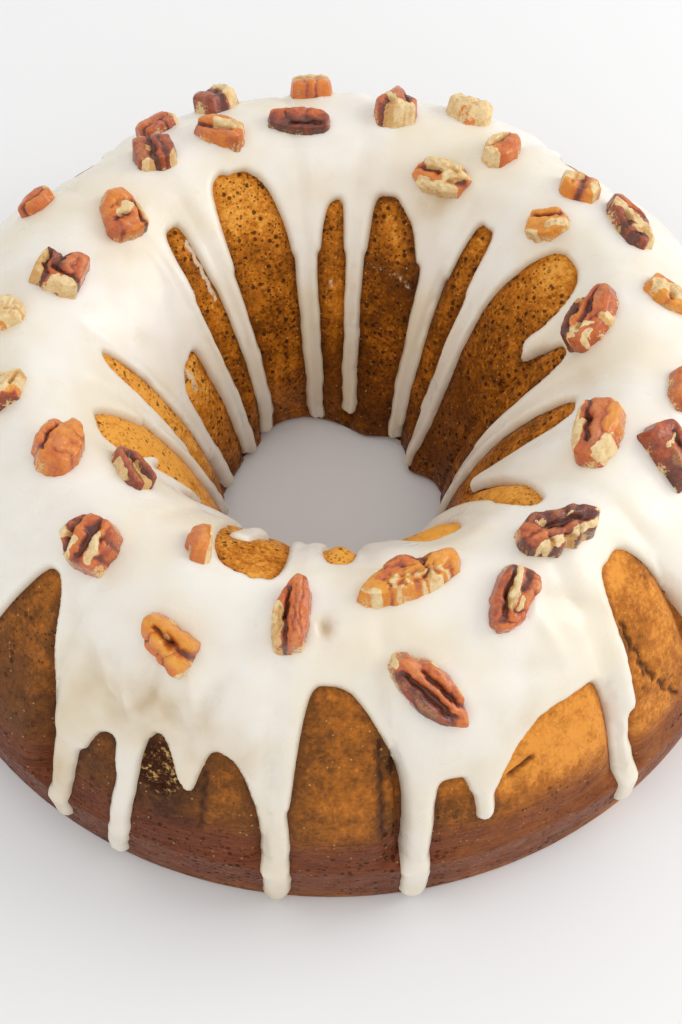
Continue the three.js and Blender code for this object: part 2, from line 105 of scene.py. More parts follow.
def ring_points(radius: Any, azimuth: Array, height: Array) -> Array:
    """Points at a radius and a height round the axis, one row of x, y, z for each."""
    angle = np.radians(azimuth)
    return np.stack([radius * np.cos(angle), radius * np.sin(angle), height], axis=1)


class Grain:
    """Smooth repeatable noise over space, roughly between -1 and 1."""

    def __init__(self, seed: int) -> None:
        """Draws the lattice that the noise is made from.

        Args:
            seed: number that the draws start from.
        """
        draw = np.random.default_rng(seed)
        self.order = draw.permutation(256)
        slopes = draw.normal(size=(256, 3))
        self.slopes = slopes / np.linalg.norm(slopes, axis=1, keepdims=True)

    def at(self, points: Array, cell: float) -> Array:
        """Noise of one size.

        Args:
            points: places, one row each.
            cell: size of its bumps, in the units of the points.

        Returns:
            One value for each point.
        """
        scaled = points / cell
        base = np.floor(scaled).astype(int)
        offset = scaled - base
        fade = offset ** 3 * (offset * (offset * 6 - 15) + 10)
        total = np.zeros(len(points))
        for corner in product((0, 1), repeat=3):
            weight = np.prod(np.where(corner, fade, 1 - fade), axis=1)
            i, j, k = ((base + corner) & 255).T
            slope = self.slopes[self.order[(self.order[(self.order[i] + j) & 255] + k) & 255]]
            total += weight * np.einsum("ij,ij->i", slope, offset - corner)
        return total * 1.6

    def layered(self, points: Array, cell: float, octaves: int = 3) -> Array:
        """Noise of several sizes, each half as large and half as strong as the one before."""
        return sum(self.at(points + 37.0 * n, cell / 2 ** n) / 2 ** n for n in range(octaves))


# ---------------------------------------------------------------- the cake's surface

@dataclass(frozen=True)
class Swell:
    """A low swell of the hole's wall at its foot."""

    azimuth: float
    half_width: float
    rise: float


@dataclass(frozen=True)
class Wave:
    """A slow wave of the crust around the cake."""

    count: int
    phase: float
    lean: float
    height: float


@dataclass(frozen=True)
class Batter:
    """Sizes of the baked ring, as the part's source has them."""

    rim_radius: float = 121.0
    base_radius: float = 118.5
    band_height: float = 21.0
    crest_radius: float = 78.5
    crest_height: float = 78.0
    hole_radius: float = 31.5
    fullness: float = 1.7
    foot_chamfer: float = 1.6
    pitch: float = 45.0
    narrow_half_angle: float = 7.5
    groove_spread: float = 1.6
    outer_depth: float = 3.4
    inner_depth: float = 2.0
    crest_share: float = 0.3
    wide_crown: float = 1.7
    narrow_crown: float = 0.5
    inner_crown_share: float = 0.5
    outer_full_share: float = 0.6
    inner_full_share: float = 0.5
    ledge: float = 0.6
    ledge_reach: float = 40.0
    groove_fade: float = 4.0
    groove_overrun: float = 0.8
    wave_fade: float = 15.0
    waves: tuple[Wave, ...] = (Wave(3, 0.7, 0, 0.45), Wave(5, 0, 1 / 30, 0.35))
    swell_height: float = 26.0
    swells: tuple[Swell, ...] = (Swell(33, 10, 5.5), Swell(73, 13, 3.5), Swell(115, 18, -4.5))


class CakeSurface:
    """The cake's smooth skin, read by azimuth and reach."""

    STEPS = 400
    PROBE = 0.8

    def __init__(self, batter: Batter) -> None:
        """Measures the cross-section.

        Args:
            batter: sizes of the ring.
        """
        self.batter = batter
        angle = np.pi / 2 * (1 - np.arange(self.STEPS + 1) / self.STEPS)
        power = 2 / batter.fullness
        side, rise = np.cos(angle).clip(0) ** power, np.sin(angle).clip(0) ** power
        outer_radius = batter.crest_radius + (batter.rim_radius - batter.crest_radius) * side
        outer_height = batter.band_height + (batter.crest_height - batter.band_height) * rise
        inner_radius = batter.crest_radius - (batter.crest_radius - batter.hole_radius) * side
        inner_height = batter.crest_height * rise
        outer_radius = np.append(outer_radius, batter.base_radius)
        outer_height = np.append(outer_height, 0.0)
        outer_reach = self._reach_along(outer_radius, outer_height)
        inner_reach = -self._reach_along(inner_radius, inner_height)
        self.reaches = np.concatenate([inner_reach[:0:-1], outer_reach])
        self.radii = np.concatenate([inner_radius[:0:-1], outer_radius])
        self.heights = np.concatenate([inner_height[:0:-1], outer_height])
        self.outer_length = float(outer_reach[-1])
        self.wall_length = float(outer_reach[-2])
        self.inner_length = float(-inner_reach[-1])

    @staticmethod
    def _reach_along(radius: Array, height: Array) -> Array:
        """Distance of each point of a line from its first."""
        return np.append(0, np.cumsum(np.hypot(np.diff(radius), np.diff(height))))

    def radius(self, reach: Array) -> Array:
        """Radius of the plain section at a reach."""
        return np.interp(reach, self.reaches, self.radii)

    def height(self, reach: Array) -> Array:
        """Height of the plain section at a reach."""
        return np.interp(reach, self.reaches, self.heights)

    def normal(self, reach: Array) -> tuple[Array, Array]:
        """Outward normal of the section, as its radial and its upward part."""
        before = np.maximum(reach - self.PROBE, -self.inner_length)
        after = np.minimum(reach + self.PROBE, self.outer_length)
        along_radius = self.radius(after) - self.radius(before)
        along_height = self.height(after) - self.height(before)
        length = np.hypot(along_radius, along_height)
        return -along_height / length, along_radius / length

    def reach_of(self, height: Array, wall: int) -> Array:
        """Reach at which one wall passes a height.

        Args:
            height: heights above the base.
            wall: 1 for the outer wall, -1 for the hole's.

        Returns:
            Signed reaches.
        """
        on_wall = self.reaches >= 0 if wall > 0 else self.reaches <= 0
        heights, reaches = self.heights[on_wall], self.reaches[on_wall]
        order = np.argsort(heights, kind="stable")
        return np.interp(height, heights[order], reaches[order])

    def flute_depth(self, azimuth: Array, reach: Array) -> Array:
        """How far a groove between flutes is cut in."""
        b = self.batter
        from_narrow = np.abs(turn(azimuth, b.pitch * np.round(azimuth / b.pitch)))
        from_groove = from_narrow - b.narrow_half_angle
        groove = bell(from_groove, b.groove_spread)
        wide = b.wide_crown * (1 - from_groove / (b.pitch / 2 - b.narrow_half_angle)) ** 2
        narrow = b.narrow_crown * (from_narrow / b.narrow_half_angle) ** 4
        crown = np.where(from_groove > 0, wide, narrow)
        inner_share = lerp(b.crest_share, 1, smoothstep(-reach, 0, self.inner_length * b.inner_full_share))
        outer_share = lerp(b.crest_share, 1, smoothstep(reach, 0, self.wall_length * b.outer_full_share))
        inner = inner_share * (b.inner_depth * groove + b.inner_crown_share * crown)
        fade_start, fade_end = self.wall_length - b.groove_fade, self.wall_length + b.groove_overrun
        above_band = 1 - smoothstep(reach, fade_start, fade_end)
        ledge = b.ledge * smoothstep(reach, 0, b.ledge_reach)
        outer = above_band * (outer_share * (b.outer_depth * groove + crown) + ledge)
        return np.where(reach < 0, inner, outer)

    def hole_shift(self, azimuth: Array, reach: Array, height: Array) -> Array:
        """Radial shift that makes the hole's wall as uneven as a baked one near its foot."""
        fade = 1 - smoothstep(height, 0, self.batter.swell_height)
        rise = sum(s.rise * bell(turn(azimuth, s.azimuth), s.half_width) for s in self.batter.swells)
        return np.where(reach < 0, -fade * rise, 0.0)

    def unevenness(self, azimuth: Array, reach: Array) -> Array:
        """Slow rise and fall of the crust around the cake."""
        angle = np.radians(azimuth)
        above_band = smoothstep(self.wall_length - reach, 0, self.batter.wave_fade)
        return above_band * sum(
            w.height * np.sin(w.count * angle + w.phase + w.lean * reach) for w in self.batter.waves
        )

    def place(self, azimuth: Array, reach: Array, lift: Any = 0.0, flute_share: Any = 1.0) -> Array:
        """Points at a height above the cake's skin.

        Args:
            azimuth: azimuths.
            reach: reaches.
            lift: heights above the skin.
            flute_share: share of the flutes' depth that the points follow.

        Returns:
            One row of x, y, z for each.
        """
        out, up = self.normal(reach)
        height = self.height(reach)
        proud = lift - flute_share * self.flute_depth(azimuth, reach) + self.unevenness(azimuth, reach)
        radius = self.radius(reach) + out * proud + self.hole_shift(azimuth, reach, height)
        return ring_points(radius, azimuth, height + up * proud)


SURFACE = CakeSurface(Batter())


# ---------------------------------------------------------------- meshes from operators

@dataclass
class RingMesh:
    """A section spun round the axis whose vertices remember their reach."""

    bm: bmesh.types.BMesh
    reach: bmesh.types.BMLayerItem
    under: bmesh.types.BMLayerItem

    @classmethod
    def spin(cls, reaches: Sequence[float], floor: Sequence[float], steps: int) -> "RingMesh":
        """Spins the cake's section.

        Args:
            reaches: reaches of its rows.
            floor: radii of rows on the flat base that close it; none leaves it open.
            steps: columns round the axis.

        Returns:
            The spun ring.
        """
        bm = bmesh.new()
        reach_layer = bm.verts.layers.float.new("reach")
        under_layer = bm.verts.layers.float.new("under")
        rows = []
        for reach in reaches:
            vertex = bm.verts.new((float(SURFACE.radius(reach)), 0, float(SURFACE.height(reach))))
            vertex[reach_layer] = reach
            rows.append(vertex)
        for radius in floor:
            vertex = bm.verts.new((radius, 0, 0))
            hole_side = radius < SURFACE.batter.crest_radius
            vertex[reach_layer] = -SURFACE.inner_length if hole_side else SURFACE.outer_length
            vertex[under_layer] = 1.0
            rows.append(vertex)
        pairs = list(zip(rows, rows[1:]))
        if floor:
            pairs.append((rows[-1], rows[0]))
        edges = [bm.edges.new(pair) for pair in pairs]
        bmesh.ops.spin(bm, geom=rows + edges, cent=(0, 0, 0), axis=(0, 0, 1), dvec=(0, 0, 0),
                       angle=math.tau, steps=steps, use_merge=True, use_normal_flip=False,
                       use_duplicate=False)
        return cls(bm, reach_layer, under_layer)

    def columns(self) -> tuple[Array, Array, Array]:
        """Azimuth, reach and underside share of every vertex."""
        places = np.array([v.co[:2] for v in self.bm.verts])
        reach = np.array([v[self.reach] for v in self.bm.verts])
        under = np.array([v[self.under] for v in self.bm.verts])
        return np.degrees(np.arctan2(places[:, 1], places[:, 0])) % 360, reach, under

    def refine(self, wanted: Callable[[Array, Array], Array], cell: float) -> None:
        """Halves long edges where the surface needs it.

        Args:
            wanted: tells, from azimuths and reaches, where finer faces are wanted.
            cell: longest edge that stays whole there.
        """
        self.bm.verts.index_update()
        places = np.array([v.co[:] for v in self.bm.verts])
        reach = np.array([v[self.reach] for v in self.bm.verts])
        under = np.array([v[self.under] for v in self.bm.verts])
        edges = list(self.bm.edges)
        ends = np.array([(e.verts[0].index, e.verts[1].index) for e in edges])
        middle = places[ends].mean(axis=1)
        length = np.linalg.norm(places[ends[:, 0]] - places[ends[:, 1]], axis=1)
        azimuth = np.degrees(np.arctan2(middle[:, 1], middle[:, 0])) % 360
        chosen = (length > cell) & (under[ends].max(axis=1) < 0.5)
        chosen &= wanted(azimuth, reach[ends].mean(axis=1))
        bmesh.ops.subdivide_edges(self.bm, edges=[edges[i] for i in np.flatnonzero(chosen)],
                                  cuts=1, use_grid_fill=True)

    def move(self, places: Array) -> None:
        """Puts every vertex in its place, in metres."""
        for vertex, place in zip(self.bm.verts, places * MM):
            vertex.co = place


def as_object(name: str, bm: bmesh.types.BMesh, marks: dict[str, Array]) -> bpy.types.Object:
    """Makes a smooth-shaded object of a bmesh and links it to the scene.

    Args:
        name: the piece's name.
        bm: its mesh, in metres; it is freed.
        marks: attributes of its vertices, by name.

    Returns:
        The object.
    """
    mesh = bpy.data.meshes.new(name)
    bm.to_mesh(mesh)
    bm.free()
    mesh.shade_smooth()
    for mark, values in marks.items():
        attribute = mesh.attributes.new(mark, "FLOAT", "POINT")
        attribute.data.foreach_set("value", np.ascontiguousarray(values, dtype=np.float32))
    piece = bpy.data.objects.new(name, mesh)
    bpy.context.scene.collection.objects.link(piece)
    return piece


# ---------------------------------------------------------------- shader maths

class Value:
    """A number socket in shader maths: Python expressions on it add Math nodes."""

    def __init__(self, tree: "Dressing", socket: bpy.types.NodeSocket) -> None:
        """Wraps a socket of a material."""
        self.tree = tree
        self.socket = socket

    def _math(self, operation: str, first: Any, second: Any = 0.0) -> "Value":
        """A Math node on two values."""
        node = self.tree.node("ShaderNodeMath", {"operation": operation}, {0: first, 1: second})
        return Value(self.tree, node.outputs[0])

    def __add__(self, other: Any) -> "Value":
        """Sum."""
        return self._math("ADD", self, other)

    __radd__ = __add__

    def __sub__(self, other: Any) -> "Value":
        """Difference."""
        return self._math("SUBTRACT", self, other)

    def __rsub__(self, other: Any) -> "Value":
        """Difference from a number."""
        return self._math("SUBTRACT", other, self)

    def __mul__(self, other: Any) -> "Value":
        """Product."""
        return self._math("MULTIPLY", self, other)

    def between(self, low: float, high: float) -> "Value":
        """An even S from 0 at low to 1 at high; low may be the larger."""
        node = self.tree.node("ShaderNodeMapRange", {"interpolation_type": "SMOOTHSTEP"},
                              {"Value": self, "From Min": low, "From Max": high})
        return Value(self.tree, node.outputs["Result"])

    def clipped(self) -> "Value":
        """The value kept between 0 and 1."""
        node = self.tree.node("ShaderNodeClamp", {}, {"Value": self})
        return Value(self.tree, node.outputs["Result"])


class Dressing:
    """One material under construction."""

    def __init__(self, name: str) -> None:
        """Starts a material with its surface shader.

        Args:
            name: the finish's name.
        """
        self.material = bpy.data.materials.new(name)
        self.material.use_nodes = True
        self.tree = self.material.node_tree
        self.tree.nodes.clear()
        self.shader = self.tree.nodes.new("ShaderNodeBsdfPrincipled")
        output = self.tree.nodes.new("ShaderNodeOutputMaterial")
        self.tree.links.new(self.shader.outputs[0], output.inputs["Surface"])
        self.place = self.node("ShaderNodeTexCoord", {}, {}).outputs["Object"]

    def node(self, kind: str, settings: dict[str, Any], sockets: dict[Any, Any]) -> bpy.types.Node:
        """Adds a node.

        Args:
            kind: its type.
            settings: its properties, set first; "stops" are a ramp's positions and colours.
            sockets: values or links of its inputs, by name or index.

        Returns:
            The node.
        """
        node = self.tree.nodes.new(kind)
        for name, setting in settings.items():
            if name == "stops":
                self._set_stops(node.color_ramp, setting)
            else:
                setattr(node, name, setting)
        for key, value in sockets.items():
            self.feed(node.inputs[key], value)
        return node

    @staticmethod
    def _set_stops(ramp: bpy.types.ColorRamp, stops: Sequence[tuple[float, Colour]]) -> None:
        """Gives a ramp its stops."""
        while len(ramp.elements) < len(stops):
            ramp.elements.new(0.5)
        for element, (position, colour) in zip(ramp.elements, stops):
            element.position = position
            element.color = (*colour, 1)

    def feed(self, socket: bpy.types.NodeSocket, value: Any) -> None:
        """Sets or links an input."""
        if isinstance(value, Value):
            value = value.socket
        if isinstance(value, bpy.types.NodeSocket):
            self.tree.links.new(value, socket)
        elif isinstance(value, tuple) and len(value) == 3 and socket.type == "RGBA":
            socket.default_value = (*value, 1)
        else:
            socket.default_value = value

    def mark(self, name: str) -> Value:
        """A float attribute of the mesh."""
        node = self.node("ShaderNodeAttribute", {"attribute_name": name}, {})
        return Value(self, node.outputs["Fac"])

    def stretched(self, factors: tuple[float, float, float]) -> bpy.types.NodeSocket:
        """Object coordinates scaled along each axis."""
        node = self.node("ShaderNodeMapping", {}, {"Vector": self.place, "Scale": factors})
        return node.outputs["Vector"]

    def noise(self, size: float, detail: float, roughness: float,
              place: bpy.types.NodeSocket | None = None) -> Value:
        """Cloudy noise.

        Args:
            size: size of its blotches, in millimetres.
            detail: finer layers.
            roughness: strength of the finer layers.
            place: coordinates; the piece's own where none are given.

        Returns:
            A value about 0.5.
        """
        node = self.node("ShaderNodeTexNoise", {}, {
            "Vector": place or self.place, "Scale": 1 / (size * MM),
            "Detail": detail, "Roughness": roughness,
        })
        return Value(self, node.outputs["Fac"])

    def cells(self, size: float) -> tuple[Value, Value]:
        """Scattered dots.

        Args:
            size: distance between dots, in millimetres.

        Returns:
            Distance from the nearest dot, in cells, and a random number for each dot.
        """
        node = self.node("ShaderNodeTexVoronoi", {}, {"Vector": self.place, "Scale": 1 / (size * MM)})
        parts = self.node("ShaderNodeSeparateColor", {}, {"Color": node.outputs["Color"]})
        return Value(self, node.outputs["Distance"]), Value(self, parts.outputs[0])

    def mix(self, share: Any, a: Any, b: Any) -> bpy.types.NodeSocket:
        """A colour between two."""
        node = self.node("ShaderNodeMix", {"data_type": "RGBA", "clamp_factor": True},
                         {0: share, 6: a, 7: b})
        return node.outputs[2]

    def ramp(self, share: Value, stops: Sequence[tuple[float, Colour]]) -> bpy.types.NodeSocket:
        """A colour read from a ramp."""
        node = self.node("ShaderNodeValToRGB", {"stops": stops}, {"Fac": share})
        return node.outputs["Color"]

    def bump(self, layers: Sequence[tuple[Value, float]]) -> bpy.types.NodeSocket:
        """Small relief from heights.

        Args:
            layers: pairs of a height between 0 and 1 and its depth in millimetres.

        Returns:
            The normal.
        """
        normal = None
        for height, depth in layers:
            sockets = {"Height": height, "Distance": depth * MM, "Strength": 1.0}
            if normal is not None:
                sockets["Normal"] = normal
            normal = self.node("ShaderNodeBump", {}, sockets).outputs["Normal"]
        return normal

    def finish(self, **sockets: Any) -> bpy.types.Material:
        """Feeds the shader and gives the material.

        Args:
            **sockets: the shader's inputs, with "_" for the blanks in their names.

        Returns:
            The material.
        """
        for name, value in sockets.items():
            self.feed(self.shader.inputs[name.replace("_", " ")], value)
        return self.material


# ---------------------------------------------------------------- the bare crust

@dataclass(frozen=True)
class CrustFinish:
    """Baked crust: golden above, darker and streaked near the foot, full of fine pores; painted shade
    darkens its pores and torn hollows.
    """

    outer: Stops = (
        (0.0, (0.77, 0.30, 0.045)), (0.30, (0.44, 0.140, 0.017)), (0.60, (0.185, 0.062, 0.011)),
        (1.0, (0.062, 0.022, 0.009)),
    )
    inner: Stops = (
        (0.0, (0.84, 0.38, 0.060)), (0.30, (0.52, 0.165, 0.010)), (0.60, (0.205, 0.058, 0.002)),
        (1.0, (0.055, 0.016, 0.002)),
    )
    cocoa: Colour = (0.205, 0.056, 0.021)
    soot: Colour = (0.072, 0.018, 0.008)
    pit: Colour = (0.045, 0.012, 0.004)
    crumb: Colour = (0.78, 0.46, 0.15)
    icing: Colour = (0.75, 0.60, 0.43)
    roughness: float = 0.42
    specular: float = 0.10
    blotch_share: float = 0.75
    patch_share: float = 0.65
    fine_share: float = 0.58
    fine_inside: float = 0.3
    rising_share: float = 0.65
    streak_share: float = 0.9
    sooty_from: float = 0.35
    pore_share: float = 0.85
    fleck_share: float = 0.55
    torn_dark_share: float = 0.9
    torn_pale_share: float = 0.75
    smear_share: float = 0.8

    def material(self) -> bpy.types.Material:
        """The material, read from the marks that the mesh carries."""
        d = Dressing("crust")
        names = ("toast_and_shade", "band", "pores", "scar", "streak", "inside", "smear")
        toast_and_shade, band, pores, scar, streak, inside, smear = (d.mark(n) for n in names)
        blotch = d.noise(16, 4, 0.65)
        patch = d.noise(5.0, 5, 0.7)
        fine = d.noise(1.1, 3, 0.7)
        lines = d.noise(8, 4, 0.75, d.stretched((1, 1, 10)))
        rising = d.noise(3.4, 4, 0.75, d.stretched((1.8, 1.8, 0.55)))
        shade = toast_and_shade + (blotch - 0.5) * self.blotch_share + (patch - 0.5) * self.patch_share
        shade = shade + (fine - 0.5) * (inside * self.fine_inside + self.fine_share)
        shade = shade + (rising - 0.5) * (1 - streak) * self.rising_share
        shade = (shade + (lines - 0.5) * streak * self.streak_share).clipped()
        colour = d.mix(inside, d.ramp(shade, self.outer), d.ramp(shade, self.inner))
        hairs = d.noise(3.0, 3, 0.7, d.stretched((1, 1, 9)))
        sooty = (shade - self.sooty_from + (lines - 0.5) * 2.0 + (hairs - 0.5) * 1.2).clipped()
        colour = d.mix(band, colour, d.mix(sooty, self.cocoa, self.soot))
        dot, dice = d.cells(2.1)
        pore = dot.between(0.34, 0.20) * (dice + pores * 0.7).between(0.88, 0.98)
        small_dot, small_dice = d.cells(0.95)
        small = small_dot.between(0.38, 0.22) * (small_dice + pores * 0.6).between(0.90, 1.0)
        holes = (pore + small * 0.8).clipped() * pores.between(0.0, 0.55)
        # Painted shade: the pores are mixed towards a near-black colour.
        colour = d.mix(holes * self.pore_share, colour, self.pit)
        # Flecks of pale crumb, partly painted glints.
        fleck_dot, fleck_dice = d.cells(1.4)
        fleck = fleck_dot.between(0.26, 0.12) * (fleck_dice + pores * 0.15).between(0.84, 0.95)
        colour = d.mix(fleck * self.fleck_share, colour, self.crumb)
        rough = d.noise(1.6, 3, 0.75)
        # Torn patches: painted shade in the low parts of their rough relief, and paler crumb on its high
        # parts, partly painted light.
        colour = d.mix(scar * rough.between(0.56, 0.44) * self.torn_dark_share, colour, self.pit)
        colour = d.mix(scar * rough.between(0.53, 0.66) * self.torn_pale_share, colour, self.crumb)
        smeared = (smear + (fine - 0.5) * 1.6).between(0.42, 0.78) * self.smear_share
        colour = d.mix(smeared, colour, self.icing)
        normal = d.bump((
            (patch, 0.5), (fine, 0.30), (d.noise(0.5, 2, 0.6), 0.07), (lines * streak, 0.35),
            (1 - holes, 0.35), (fleck, 0.12), (rough * scar, 1.2),
        ))
        roughness = (d.noise(4, 3, 0.6) - 0.5) * 0.6 + self.roughness + scar * 0.25 + holes * 0.3
        return d.finish(Base_Color=colour, Roughness=roughness.clipped(), Normal=normal,
                        Specular_IOR_Level=self.specular)


@dataclass(frozen=True)
class Scar:
    """A rough torn patch of the outer wall, or of the hole's where its wall is -1."""

    azimuth: float
    height: float
    half_width: float
    half_height: float
    depth: float
    wall: int = 1


@dataclass(frozen=True)
class Seam:
    """A ridge, a crack or a smear of icing on the crust, from one azimuth and height to another; its
    darkness along cracks and creases is painted shade.
    """

    top: tuple[float, float]
    bottom: tuple[float, float]
    width: float
    rise: float = 0.0
    dark: float = 0.0
    smear: float = 0.0
    wall: int = 1


@dataclass(frozen=True)
class Bulge:
    """Where the crust swells up between the icing's hems."""

    azimuth: float
    reach: float
    half_width: float
    half_length: float
    rise: float


SEAMS = (
    Seam((277.0, 58), (276.8, 30), 1.0, 0.8),
    Seam((275.7, 60), (275.6, 34), 0.7, -0.7, 0.40),
    Seam((277.2, 55), (277.0, 52), 0.8, -1.1, 0.7),
    Seam((254.5, 50), (254.2, 32), 0.6, -0.5, 0.35),
    Seam((312.6, 64), (312.3, 57.5), 0.5, -0.9, 0.6),
    Seam((312.9, 57), (313.2, 52), 0.5, -0.9, 0.6),
    Seam((312.6, 54), (312.9, 50), 0.4, -0.7, 0.5),
    Seam((313.5, 51), (314.0, 46.5), 0.6, -1.0, 0.7),
    Seam((314.7, 45), (315.4, 41), 0.5, -0.9, 0.6),
    Seam((316.0, 40), (317.2, 36), 0.5, -0.9, 0.6),
    Seam((294.4, 47.6), (291.6, 45.6), 0.7, -0.9, 0.7),
    # A paler streak along the ridge beside the icing: painted highlight.
    Seam((295.5, 53), (290.4, 47), 1.6, 0.3, -0.35),
    Seam((132.0, 67.5), (132.4, 53.5), 0.9, 0.3, 0.0, 1.0, -1),
    Seam((157.2, 44.8), (158.6, 39.6), 1.1, 0.3, 0.0, 1.0, -1),
    Seam((78.5, 54), (63.5, 52), 0.9, 0.2, 0.0, 0.48, -1),
    Seam((68.0, 53.5), (62.5, 51), 1.1, 0.2, 0.0, 0.62, -1),
    Seam((90.2, 49.2), (90.0, 47.8), 0.8, 0.2, 0.0, 0.8, -1),
    Seam((74.0, 66), (68.0, 57), 2.0, 0.2, -0.25, 0.0, -1),
)

BULGES = (
    Bulge(250, -20, 9, 9, 1.0),
    Bulge(271.5, -24, 4.5, 9, 1.6),
    Bulge(296, -26, 8, 9, 1.2),
)


@dataclass(frozen=True)
class BakeAndLight:
    """Where the crust is darker or, with a negative strength, paler: partly its baking, partly painted light
    and painted shade, wall by wall.
    """

    azimuth: float
    half_width: float
    height: float
    half_height: float
    strength: float
    wall: int = 1


# Painted light and painted shade: many of these make walls lit from the right paler and walls that face away
# darker, besides real differences in baking.
BAKE_AND_LIGHT = (
    BakeAndLight(232, 26, 40, 60, 0.26),
    BakeAndLight(252, 12, 45, 18, 0.10),
    BakeAndLight(298, 10, 50, 14, -0.37),
    BakeAndLight(318, 26, 50, 60, -0.22),
    BakeAndLight(225, 8, 66, 12, -0.22),
    BakeAndLight(195, 44, 45, 60, -0.46, -1),
    BakeAndLight(262, 24, 48, 60, 0.10),
    BakeAndLight(228, 12, 34, 20, 0.12),
    BakeAndLight(257.6, 3.2, 41, 8, -0.12),
    BakeAndLight(250, 4.5, 36, 8, 0.18),
    BakeAndLight(114, 14, 67, 12, -0.24, -1),
    BakeAndLight(318, 7, 56, 8, 0.12),
    BakeAndLight(253, 10, 72, 14, 0.16, -1),
    BakeAndLight(112, 16, 50, 14, 0.10, -1),
    BakeAndLight(47, 6, 60, 20, -0.12, -1),
    BakeAndLight(155, 14, 45, 40, -0.12, -1),
    BakeAndLight(299, 14, 68, 14, -0.52, -1),
    BakeAndLight(321, 9, 70, 16, -0.26, -1),
    BakeAndLight(112, 20, 14, 18, -0.16, -1),
    BakeAndLight(88, 5, 45, 30, -0.16, -1),
    BakeAndLight(66, 22, 45, 40, 0.10, -1),
    BakeAndLight(22, 11, 74, 9, -0.40, -1),
    BakeAndLight(12, 26, 30, 30, 0.10, -1),
    BakeAndLight(272, 46, 72, 26, -0.40, -1),
)


